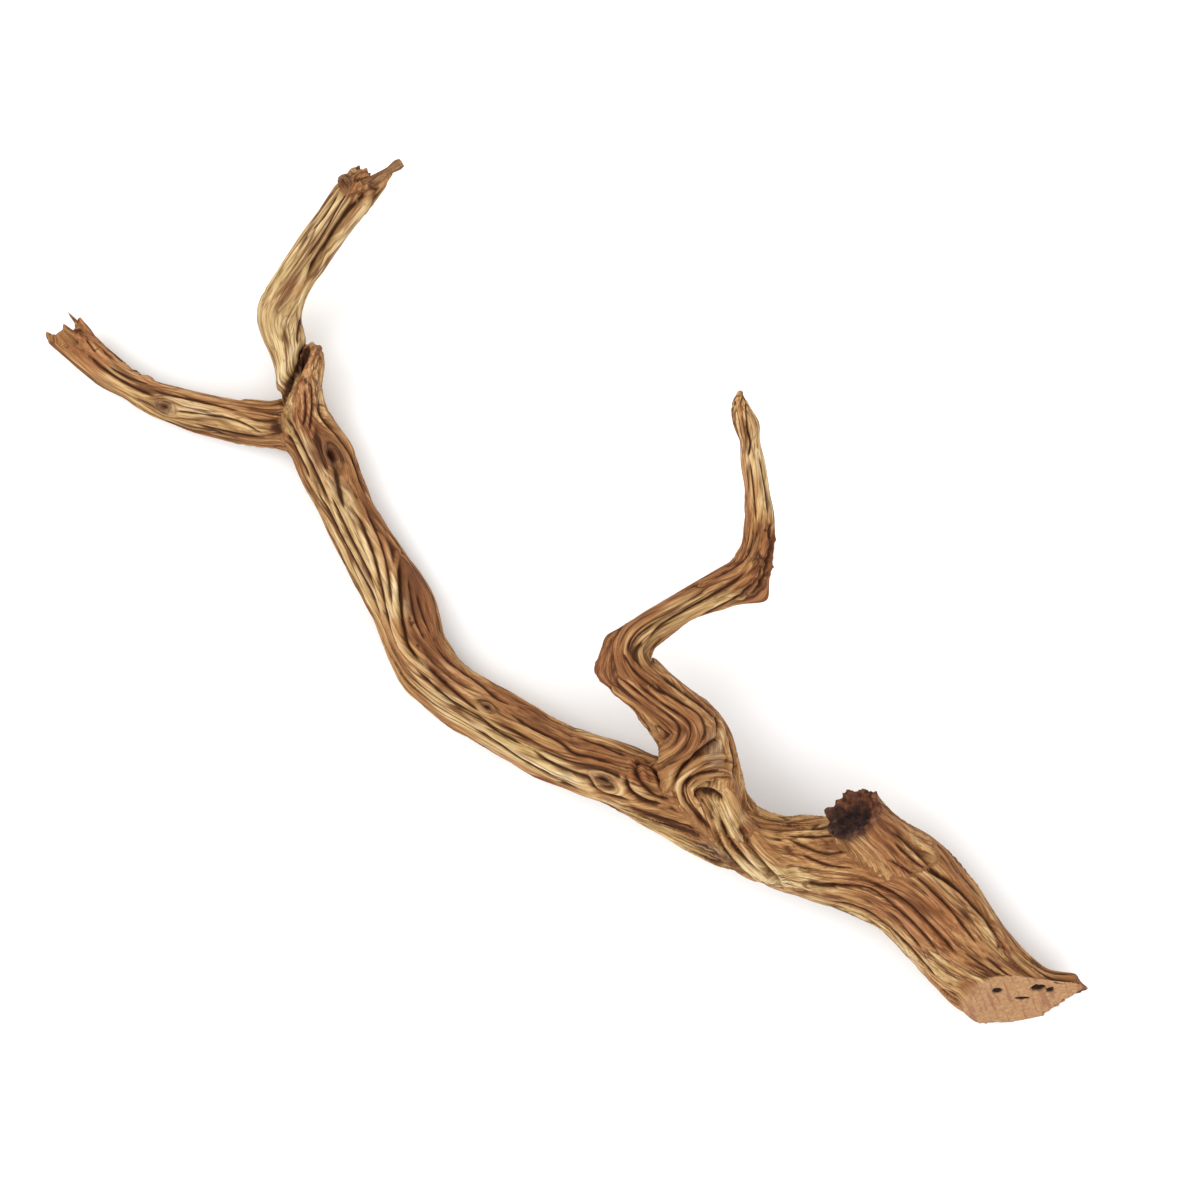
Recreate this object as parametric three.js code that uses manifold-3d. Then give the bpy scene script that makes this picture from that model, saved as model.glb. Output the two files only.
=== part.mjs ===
// A piece of driftwood: one length of weathered vine wood, sawn off at its thick end.
// The thick butt runs up into a bent stem that ends in a broken knuckle. An upper and a left branch
// leave the stem below that knuckle, a side branch climbs from its middle, and a short charred stub
// stands on the butt. It grew as one piece, so it is one solid, lying as it rests on a table.
// Millimetres, +Z up. The origin is below the middle of the piece, on the surface that it lies on.

import * as THREE from "three";
import { mergeVertices } from "three/addons/utils/BufferGeometryUtils.js";
import Module from "manifold-3d";

// Driving dimensions.
const LENGTH = 628; // along X, from the left tip to the corner of the sawn end
const ROW_SPACING = 9; // between rings of a limb, measured along it
const STRAND_DEPTH = 0.035; // how far the twisted lobes stand out, as a share of the radius
const STRAND_LOBES = 5;
const STRAND_TWIST = 0.012; // radians for each millimetre along a limb

const wasm = await Module();
wasm.setup();

// Stations of a limb: x, y and height of its heart, then half its width and half its height there.
// A limb passes smoothly through its stations, which lie closer together where it bends or narrows.
const STEM = [
  [281, -266, 25.5, 26, 25],
  [259, -241, 25.5, 27, 26],
  [241, -219, 26, 28, 26.5],
  [223, -196, 28, 30.5, 28],
  [204, -177, 30, 31, 28.5],
  [180, -167, 32, 28.5, 28],
  [152, -161, 34, 26, 26],
  [123, -155, 36, 22, 23],
  [93, -142, 38, 21.5, 23],
  [62, -126, 38, 20.5, 22],
  [30, -111, 35, 19, 20.5],
  [-6, -98, 29, 17.5, 19],
  [-42, -78, 23.5, 18.5, 18.5],
  [-74, -57, 18.5, 18, 19],
  [-89, -37, 18, 17.5, 18.5],
  [-99, -10, 17.5, 19, 17.5],
  [-114.5, 16, 17, 17.8, 17],
  [-133, 49, 17, 16.5, 16.5],
  [-147, 80.5, 17.5, 18.4, 18],
  [-158, 106, 18, 14, 17.5],
  [-157, 125, 22, 10.5, 15],
  [-152, 140, 29, 7, 9.5],
  [-150, 147, 32, 3, 4],
];
const UPPER_BRANCH = [
  [-158, 99, 16, 8, 12],
  [-162, 121, 15.5, 10, 12.5],
  [-168, 146, 18, 13, 13],
  [-172, 164, 25, 13.6, 13],
  [-165, 180, 36, 12, 12.5],
  [-149.5, 202, 51, 11.6, 12],
  [-133, 222, 65, 11.8, 12],
  [-121, 236, 74, 12.4, 11],
  [-115, 242, 77, 9.5, 8],
];
const LEFT_BRANCH = [
  [-155, 101, 18, 12, 13],
  [-179, 99, 17, 14, 14],
  [-206, 103, 16, 13, 13.5],
  [-234.5, 110.5, 14, 12, 12.5],
  [-257, 120, 13, 9.8, 11.5],
  [-277, 133, 14, 10.8, 10.5],
  [-293, 145, 16, 11.8, 9],
  [-301, 150, 18, 7, 5],
];
const SIDE_BRANCH = [
  [83, -126, 42, 23, 19],
  [79, -105, 48, 24.5, 20],
  [74, -86, 54, 21.5, 19.5],
  [62, -72, 60, 17.6, 18],
  [48, -58, 66, 16, 16.5],
  [36, -45, 71, 16, 15],
  [41, -31, 75, 12.5, 13],
  [53, -21, 79, 11, 12],
  [70, -10, 82, 10.4, 11],
  [89, -1, 85, 12, 11.5],
  [105, 7, 88, 12.5, 12.5],
  [112, 23, 92, 10, 11],
  [113.5, 42, 98, 9, 9.5],
  [111, 62, 104, 7.6, 8],
  [106.5, 83, 112, 6.4, 7.5],
  [103, 102, 119, 6, 6],
  [101, 112, 123, 3, 3.5],
];
const CHARRED_STUB = [
  [197, -161, 36, 19, 20],
  [187, -149, 48, 19, 19],
  [179, -140, 59, 18.5, 18],
  [172, -132, 68, 17.5, 17.5],
];
const BUTT_FLARE = [
  [260, -219, 22, 8, 14],
  [287, -236, 20, 8, 13],
  [316, -244, 16, 4, 7],
];
// Splinters and nubs left where the branches snapped: thick end, tip, and the two radii.
const SPLINTERS = [
  [[-117, 238, 77], [-99, 249, 80], 4, 1.8], // upper branch, long dark spike
  [[-103, 247, 79.5], [-97, 250, 80.5], 2.2, 2.8], // the bead on its end
  [[-121, 234, 77], [-119, 250, 80], 7, 1], // upper branch, left tooth
  [[-112, 236, 76], [-99, 242, 76], 6, 1.2], // upper branch, right tooth
  [[-126, 233, 76], [-130, 240, 80], 5, 3.6], // upper branch, twig nub
  [[-292, 146, 15], [-312, 155, 18], 10, 1], // left branch, long flat tooth
  [[-286, 147, 18], [-293, 163, 23], 7.5, 1], // left branch, dark spike
  [[-266, 132, 15], [-269, 138, 17], 5, 3], // left branch, side nub
  [[106, 8, 87], [118, 2, 86], 11, 7], // side branch, corner of its elbow
];
const SAWN_FACE_CENTRE = [275, -243.5, 26];
const SAWN_FACE_NORMAL = [0.17, -0.8, 0.575];
// The stations are measured from a point near the middle; this moves the middle of the box to the origin.
const TO_MIDDLE = [-2.3, 5.5, 0];

const vector = (point) => new THREE.Vector3(...point);
const UP = new THREE.Vector3(0, 0, 1);

/** Turns a closed three.js geometry into a solid that can be joined and cut. */
function solidOf(geometry) {
  const bare = geometry.clone();
  bare.deleteAttribute("normal");
  bare.deleteAttribute("uv");
  const merged = mergeVertices(bare, 1e-3);
  return new wasm.Manifold(
    new wasm.Mesh({
      numProp: 3,
      vertProperties: new Float32Array(merged.attributes.position.array),
      triVerts: new Uint32Array(merged.index.array),
    }),
  );
}

/** Turns a solid back into a geometry with flat-shaded triangles. */
function geometryOf(solid) {
  const mesh = solid.getMesh();
  const geometry = new THREE.BufferGeometry();
  geometry.setAttribute("position", new THREE.BufferAttribute(mesh.vertProperties, 3));
  geometry.setIndex(new THREE.BufferAttribute(mesh.triVerts, 1));
  geometry.computeVertexNormals();
  return geometry;
}

/** One limb: a closed cylinder bent along its stations, with shallow lobes that twist round it. */
function limb(stations, sides) {
  const heart = new THREE.CatmullRomCurve3(stations.map((s) => vector(s.slice(0, 3))), false, "centripetal");
  const girth = new THREE.CatmullRomCurve3(stations.map((s) => new THREE.Vector3(s[3], s[4], 0)));
  const rows = Math.round(heart.getLength() / ROW_SPACING);
  const geometry = new THREE.CylinderGeometry(1, 1, 1, sides, rows);
  const places = geometry.attributes.position;
  const place = new THREE.Vector3();
  const smoothing = 0.6 / (stations.length - 1);
  for (let i = 0; i < places.count; i++) {
    place.fromBufferAttribute(places, i);
    const t = THREE.MathUtils.clamp(place.y + 0.5, 0, 1);
    const along = heart
      .getPoint(Math.min(t + smoothing, 1))
      .sub(heart.getPoint(Math.max(t - smoothing, 0)))
      .normalize();
    const side = new THREE.Vector3().crossVectors(UP, along).normalize();
    const top = new THREE.Vector3().crossVectors(along, side);
    const size = girth.getPoint(t);
    const angle = Math.atan2(place.z, place.x);
    const turned = angle + STRAND_TWIST * t * heart.getLength();
    const lobe = 1 + STRAND_DEPTH * Math.cos(STRAND_LOBES * turned);
    const centre = heart.getPoint(t);
    centre.addScaledVector(side, place.x * size.x * lobe);
    centre.addScaledVector(top, -place.z * size.y * lobe);
    places.setXYZ(i, centre.x, centre.y, centre.z);
  }
  return solidOf(geometry);
}

/** A tapered splinter between two points. */
function splinter([root, tip, rootRadius, tipRadius]) {
  const from = vector(root);
  const run = vector(tip).sub(from);
  const geometry = new THREE.CylinderGeometry(tipRadius, rootRadius, run.length(), 7, 1);
  geometry.translate(0, run.length() / 2, 0);
  geometry.applyQuaternion(new THREE.Quaternion().setFromUnitVectors(new THREE.Vector3(0, 1, 0), run.normalize()));
  geometry.translate(from.x, from.y, from.z);
  return solidOf(geometry);
}

/** Everything beyond a plane, as a block that can be cut away. */
function beyond(point, normal) {
  const size = LENGTH;
  const geometry = new THREE.BoxGeometry(size, size, size);
  geometry.translate(0, 0, size / 2);
  geometry.applyQuaternion(new THREE.Quaternion().setFromUnitVectors(UP, vector(normal).normalize()));
  geometry.translate(...point);
  return solidOf(geometry);
}

/** The whole piece: all limbs joined, the butt sawn off, and the underside rubbed level with the table. */
function driftwood() {
  let wood = limb(STEM, 28);
  for (const [stations, sides] of [
    [UPPER_BRANCH, 18],
    [LEFT_BRANCH, 18],
    [SIDE_BRANCH, 22],
    [CHARRED_STUB, 18],
    [BUTT_FLARE, 12],
  ])
    wood = wood.add(limb(stations, sides));
  for (const shape of SPLINTERS) wood = wood.add(splinter(shape));
  return wood
    .subtract(beyond(SAWN_FACE_CENTRE, SAWN_FACE_NORMAL))
    .subtract(beyond([0, 0, 0], [0, 0, -1]))
    .translate(TO_MIDDLE);
}

const weatheredWood = new THREE.MeshStandardMaterial({ color: "#a07850", roughness: 0.85, metalness: 0 });

const piece = new THREE.Mesh(geometryOf(driftwood()), weatheredWood);
piece.name = "driftwood";

const root = new THREE.Group();
root.add(piece);
export default root;
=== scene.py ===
"""A piece of weathered vine driftwood on a pale table, seen from above.

One grown piece: a sawn butt, a bent stem with a broken knuckle, an upper, a left and a side branch,
and a charred stub. Each limb is drawn out ring by ring from a circle, smoothed, carved along its own
grain, and joined to the others into a single closed skin.
"""

import logging
import math
from dataclasses import dataclass, field
from enum import Enum

import bmesh
import bpy
import numpy as np
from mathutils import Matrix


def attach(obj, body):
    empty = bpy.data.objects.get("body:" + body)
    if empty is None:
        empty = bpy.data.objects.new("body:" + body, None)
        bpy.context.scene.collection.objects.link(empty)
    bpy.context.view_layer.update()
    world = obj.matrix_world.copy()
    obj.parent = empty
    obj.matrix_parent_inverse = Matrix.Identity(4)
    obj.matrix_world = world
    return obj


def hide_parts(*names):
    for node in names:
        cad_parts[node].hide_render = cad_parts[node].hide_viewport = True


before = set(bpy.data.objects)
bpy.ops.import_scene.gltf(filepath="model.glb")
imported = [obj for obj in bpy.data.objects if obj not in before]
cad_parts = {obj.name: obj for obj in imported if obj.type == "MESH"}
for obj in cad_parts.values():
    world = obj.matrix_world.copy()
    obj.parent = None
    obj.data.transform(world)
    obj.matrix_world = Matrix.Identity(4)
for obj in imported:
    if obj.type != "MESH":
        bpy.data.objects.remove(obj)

LOG = logging.getLogger("driftwood")
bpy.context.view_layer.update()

MM = 0.001
NODE = "driftwood"
MARKS = ("cavity", "crest", "red", "pale", "grey", "knot", "sawn", "pit", "char", "ember", "flow")
TO_MIDDLE = np.array([-2.3, 5.5, 0.0])  # from the point the stations are measured from to the origin, mm

BATCH = 8000  # points measured at a time, to keep the tables of distances small
LINE_STEPS = 6  # points to a stretch of a smooth line

Point = tuple[float, float]
Line = tuple[Point, ...]
Vector = tuple[float, float, float]
Station = tuple[float, float, float, float, float]  # x, y, height, half width, half height, mm
Socket = bpy.types.NodeSocket


# Numbers and noise ------------------------------------------------------------------------------


def smoothstep(low: float, high: float, value: np.ndarray) -> np.ndarray:
    """Eases a value from 0 to 1.

    Args:
        low: where the result is 0; it may be above high, for a fall.
        high: where the result is 1.
        value: what to ease.
    Returns:
        The eased share for each value.
    """
    share = np.clip((value - low) / (high - low), 0.0, 1.0)
    return share * share * (3.0 - 2.0 * share)


class GradientNoise:
    """Smooth noise in three dimensions, the same on every run for one seed."""

    def __init__(self, seed: int) -> None:
        """Draws the slopes of the pattern.

        Args:
            seed: which of the endless patterns to use.
        """
        source = np.random.default_rng(seed)
        self.order = np.tile(source.permutation(256), 2)
        slopes = source.normal(size=(256, 3))
        self.slopes = slopes / np.linalg.norm(slopes, axis=1)[:, None]

    def __call__(self, places: np.ndarray) -> np.ndarray:
        """Reads the noise.

        Args:
            places: n by 3 positions, in cells.
        Returns:
            n values, mostly within 0.6 of zero.
        """
        cell = np.floor(places).astype(int)
        inside = places - cell
        ease = inside**3 * (inside * (inside * 6.0 - 15.0) + 10.0)
        total = np.zeros(len(places))
        for corner in np.ndindex(2, 2, 2):
            at = (cell + corner) & 255
            index = self.order[self.order[self.order[at[:, 0]] + at[:, 1]] + at[:, 2]]
            slope = np.einsum("ij,ij->i", self.slopes[index], inside - corner)
            share = np.prod(np.where(corner, ease, 1.0 - ease), axis=1)
            total += slope * share
        return total


def smooth_line(corners: Line) -> np.ndarray:
    """Draws a smooth line through corners.

    Args:
        corners: the points that the line passes, mm.
    Returns:
        The points of the line, n by 2, mm; two corners alone stay a straight line.
    """
    path = np.array(corners, float)
    if len(path) < 3:
        return path
    wide = np.vstack([2 * path[0] - path[1], path, 2 * path[-1] - path[-2]])
    share = np.arange(LINE_STEPS)[:, None] / LINE_STEPS
    pieces = []
    for a, b, c, d in zip(wide[:-3], wide[1:-2], wide[2:-1], wide[3:]):
        square = 2 * a - 5 * b + 4 * c - d
        cube = 3 * b - a - 3 * c + d
        pieces.append(0.5 * (2 * b + (c - a) * share + square * share**2 + cube * share**3))
    return np.vstack([*pieces, path[-1:]])


def distance_to_line(places: np.ndarray, line: np.ndarray) -> tuple[np.ndarray, np.ndarray, np.ndarray]:
    """Measures in plan from points to a line of straight stretches.

    Args:
        places: n by 2 points, mm.
        line: m by 2 corners of the line, mm.
    Returns:
        The distance of each point, how far along the line its foot lies, from 0 to 1, and on which side
        of the line it is, 1 for the left and -1 for the right.
    """
    best = np.full(len(places), 1e9)
    side = np.ones(len(places))
    along = np.zeros(len(places))
    lengths = np.linalg.norm(np.diff(line, axis=0), axis=1)
    before = np.concatenate([[0.0], np.cumsum(lengths)])
    for start, end, length, done in zip(line[:-1], line[1:], lengths, before):
        step = (end - start) / length
        run = np.clip((places - start) @ step, 0.0, length)
        gap = np.linalg.norm(places - start - run[:, None] * step, axis=1)
        near = gap < best
        best[near] = gap[near]
        along[near] = (done + run[near]) / before[-1]
        leftward = step[0] * (places[:, 1] - start[1]) - step[1] * (places[:, 0] - start[0])
        side[near] = np.sign(leftward[near])
    return best, along, side


# What the limbs are and what happened to them -----------------------------------------------------


class End(Enum):
    """How a limb ends."""

    BURIED = "buried in another limb"
    SAWN = "cut flat by a saw"
    SNAPPED = "broken off, with torn fibres"
    CHARRED = "burnt back to a hollow stump"
    ROUNDED = "worn to a blunt point"


class Tone(Enum):
    """What a patch of wood is like; the values name marks of the skin."""

    RED = "red"
    PALE = "pale"
    GREY = "grey"
    KNOT = "knot"
    CALM = "calm"  # worn smooth, with weaker relief


@dataclass(frozen=True)
class Tooth:
    """A prong of torn wood on a snapped end.

    Attributes:
        across, up: where it stands on the section, from -1 to 1.
        height: how far it stands out, mm.
        width: its half width, as a share of the section's.
    """

    across: float
    up: float
    height: float
    width: float


@dataclass(frozen=True)
class Swell:
    """A bump or dent of the wood round a point, or a pull of it in one direction.

    Attributes:
        limb: which limb it is on.
        x, y, z: where it is, mm; without z it is on the upper side.
        radius: how far it reaches, mm.
        height: how far the skin rises, mm; a negative height makes a dent.
        pull: which way and how far the wood is drawn, mm.
    """

    limb: str
    x: float
    y: float
    radius: float
    height: float
    z: float | None = None
    pull: Vector | None = None


@dataclass(frozen=True)
class Groove:
    """A deep groove that lies along the grain of the upper side.

    Attributes:
        limbs: the names of the limbs it runs over, with spaces between.
        width, depth: its size, mm; a negative depth makes a ridge.
        line: its corners in plan, mm.
        dark: how darkly its bottom is painted with shade and some dirt, from 0 to 1.
        steers: whether the fibres run along it.
        steep: whether it cuts the steep flanks of the limb too.
    """

    limbs: str
    width: float
    depth: float
    line: Line
    dark: float = 1.0
    steers: bool = True
    steep: bool = False


@dataclass(frozen=True)
class Flow:
    """A line that the fibres run beside, whichever way the limb goes.

    Attributes:
        limbs: the names of the limbs it runs over, with spaces between.
        reach: how far to each side the fibres follow it, mm.
        line: its corners in plan, mm.
    """

    limbs: str
    reach: float
    line: Line


@dataclass(frozen=True)
class Knot:
    """An eye in the grain, which the fibres part round.

    Attributes:
        limb: which limb it is on.
        x, y: its middle in plan, mm.
        radius: its half width across the grain, mm.
        stretch: how many times longer than wide it is.
        hole: how deep its middle is sunk, mm.
        rise: how high the collar round it stands, mm.
    """

    limb: str
    x: float
    y: float
    radius: float
    stretch: float = 1.8
    hole: float = 1.5
    rise: float = 0.8


@dataclass(frozen=True)
class Rough:
    """A patch of broken, crumbled bark.

    Attributes:
        limb: which limb it is on.
        x, y: its middle in plan, mm.
        along, across: its half length along the limb and half width round it, mm.
        height: how far it stands out, mm.
    """

    limb: str
    x: float
    y: float
    along: float
    across: float
    height: float


@dataclass(frozen=True)
class Patch:
    """A patch of wood of another tone.

    Attributes:
        limb: which limb it is on.
        tone: what it is like.
        x, y: its middle in plan, mm.
        along, across: its half length along the limb and half width round it, mm.
        strength: how much of the tone it has, from 0 to 1.
    """

    limb: str
    tone: Tone
    x: float
    y: float
    along: float
    across: float
    strength: float


@dataclass(frozen=True)
class Limb:
    """One limb of the wood.

    Attributes:
        name: what it is called.
        stations: where its heart passes and how thick it is there.
        columns: how many columns of cage points stand round it.
        spacing: how far apart the cage's rings are, mm.
        start, finish: how its two ends are closed.
        twist: how far the fibres turn round it, radians for each mm.
        levels: how often the cage is divided.
        teeth: the prongs of a snapped end.
        strand: how strongly the strands are cut, against the trunk's.
        reach: how far from its end the tearing goes, mm.
    """

    name: str
    stations: tuple[Station, ...]
    columns: int
    spacing: float
    start: End
    finish: End
    twist: float = 0.0
    levels: int = 3
    teeth: tuple[Tooth, ...] = ()
    strand: float = 1.0
    reach: float = 26.0


SAWN_POINT = np.array([275.0, -243.5, 26.0]) + TO_MIDDLE
SAWN_NORMAL = np.array([0.17, -0.8, 0.575]) / np.linalg.norm([0.17, -0.8, 0.575])
SAWN_ASIDE = np.array([-0.98, -0.21])  # along the face in plan, towards its low end
LOW_STRIP = (16.0, 40.0)  # where, on the way to the low end, the face leaves the saw's plane, mm
LOW_STRIP_RISE = 6.5  # by how much, mm


class Heart:
    """The heart line of a limb, with its half width, half height and directions, read every millimetre."""

    SMOOTHING = 9  # the directions are averaged over this many millimetres each way
    THINNEST = 0.8  # half width that no part of a limb goes under, mm
    MEASURED_EVERY = 4  # distances are measured from points of the heart this far apart, mm
    HIGHEST_SLANT = 0.97  # share of the half width past which a point counts as on the limb's flank

    def __init__(self, stations: tuple[Station, ...]) -> None:
        """Runs a smooth line through the stations.

        Args:
            stations: where the limb passes, mm.
        """
        table = np.array(stations, float)
        table[:, :3] += TO_MIDDLE
        steps = np.linalg.norm(np.diff(table[:, :3], axis=0), axis=1)
        knots = np.concatenate([[0.0], np.cumsum(steps)])
        slopes = np.gradient(table, knots, axis=0)
        fine = np.linspace(0.0, knots[-1], int(knots[-1] * 2))
        span = np.clip(np.searchsorted(knots, fine, side="right") - 1, 0, len(knots) - 2)
        width = (knots[span + 1] - knots[span])[:, None]
        t = (fine - knots[span])[:, None] / width
        rows = (
            (2 * t**3 - 3 * t**2 + 1) * table[span]
            + (t**3 - 2 * t**2 + t) * width * slopes[span]
            + (3 * t**2 - 2 * t**3) * table[span + 1]
            + (t**3 - t**2) * width * slopes[span + 1]
        )
        run = np.concatenate([[0.0], np.cumsum(np.linalg.norm(np.diff(rows[:, :3], axis=0), axis=1))])
        self.length = float(run[-1])
        self.at = np.arange(0.0, self.length, 1.0)
        self.rows = np.stack([np.interp(self.at, run, rows[:, i]) for i in range(5)], axis=1)
        self.rows[:, 3:] = np.maximum(self.rows[:, 3:], self.THINNEST)
        ahead = np.clip(np.arange(len(self.at)) + self.SMOOTHING, 0, len(self.at) - 1)
        behind = np.clip(np.arange(len(self.at)) - self.SMOOTHING, 0, len(self.at) - 1)
        forward = self.rows[ahead, :3] - self.rows[behind, :3]
        self.forward = forward / np.linalg.norm(forward, axis=1)[:, None]
        side = np.cross([0.0, 0.0, 1.0], self.forward)
        self.side = side / np.linalg.norm(side, axis=1)[:, None]
        self.top = np.cross(self.forward, self.side)

    def look(self, table: np.ndarray, along: np.ndarray) -> np.ndarray:
        """Returns the rows of a table, read between whole millimetres at each distance along."""
        return np.stack([np.interp(along, self.at, table[:, i]) for i in range(table.shape[1])], axis=1)

    def ring(self, along: float, angles: np.ndarray, share: float) -> np.ndarray:
        """Finds points round the limb.

        Args:
            along: how far along the heart, mm.
            angles: where round the limb.
            share: how far out, as a share of the radius.
        Returns:
            The points, n by 3, mm.
        """
        spot = np.full(len(angles), along)
        centre = self.look(self.rows, spot)
        across = self.look(self.side, spot) * (centre[:, 3] * np.cos(angles) * share)[:, None]
        upward = self.look(self.top, spot) * (centre[:, 4] * np.sin(angles) * share)[:, None]
        return centre[:, :3] + across + upward

    def distance(self, places: np.ndarray) -> np.ndarray:
        """Measures from points to this limb's skin.

        Args:
            places: n by 3 points, mm.
        Returns:
            How far outside the skin each point lies, mm, negative inside.
        """
        spots = np.arange(0, len(self.at), self.MEASURED_EVERY)
        centre, half = self.rows[spots, :3], self.rows[spots, 3:]
        best = np.empty(len(places))
        for low in range(0, len(places), BATCH):
            part = places[low : low + BATCH]
            gap = np.linalg.norm(part[:, None, :] - centre[None], axis=2)
            near = np.argmin(gap - half.mean(axis=1)[None], axis=1)
            offset = part - centre[near]
            across = np.einsum("ij,ij->i", offset, self.side[spots][near]) / half[near, 0]
            upward = np.einsum("ij,ij->i", offset, self.top[spots][near]) / half[near, 1]
            beyond = np.abs(np.einsum("ij,ij->i", offset, self.forward[spots][near]))
            share = np.maximum(np.hypot(across, upward), 0.05)
            size = np.hypot(across * half[near, 0], upward * half[near, 1]) / share
            best[low : low + BATCH] = (share - 1.0) * size + np.maximum(beyond - 2.0, 0.0)
        return best

    def locate(self, plan: np.ndarray) -> tuple[np.ndarray, np.ndarray]:
        """Finds points of the limb's upper side from above.

        Args:
            plan: n by 2 points, mm.
        Returns:
            The distance along the heart, and the angle round it, of the skin over each point.
        """
        gap = np.linalg.norm(plan[:, None, :] - self.rows[None, :, :2], axis=2)
        near = np.argmin(gap / self.rows[None, :, 3], axis=1)
        offset = plan - self.rows[near, :2]
        across = np.einsum("ij,ij->i", offset, self.side[near, :2]) / self.rows[near, 3]
        return self.at[near], np.arccos(np.clip(across, -self.HIGHEST_SLANT, self.HIGHEST_SLANT))


@dataclass
class Skin:
    """The smoothed skin of a limb.

    Attributes:
        limb, heart: what it is the skin of.
        object: the mesh.
        places, outward: where each point is, mm, and which way the skin faces there.
        along, angle, share: where each point sits on the limb: along it, mm, round it, and how far out.
        marks: what each point is like, by name, from 0 to 1.
    """

    limb: Limb
    heart: Heart
    object: bpy.types.Object
    places: np.ndarray
    outward: np.ndarray
    along: np.ndarray
    angle: np.ndarray
    share: np.ndarray
    marks: dict[str, np.ndarray] = field(default_factory=dict)

    def mark(self, name: str) -> np.ndarray:
        """Returns the named mark, made of zeros the first time."""
        return self.marks.setdefault(name, np.zeros(len(self.places)))

    def push(self, height: np.ndarray) -> None:
        """Moves the skin outwards by a height for each point, mm."""
        self.places += self.outward * height[:, None]

    def refresh(self) -> None:
        """Writes the places into the mesh and reads its outward directions back."""
        mesh = self.object.data
        mesh.vertices.foreach_set("co", (self.places * MM).ravel())
        mesh.update()
        normals = np.empty(len(mesh.vertices) * 3)
        mesh.vertex_normals.foreach_get("vector", normals)
        self.outward = normals.reshape(-1, 3)


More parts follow.
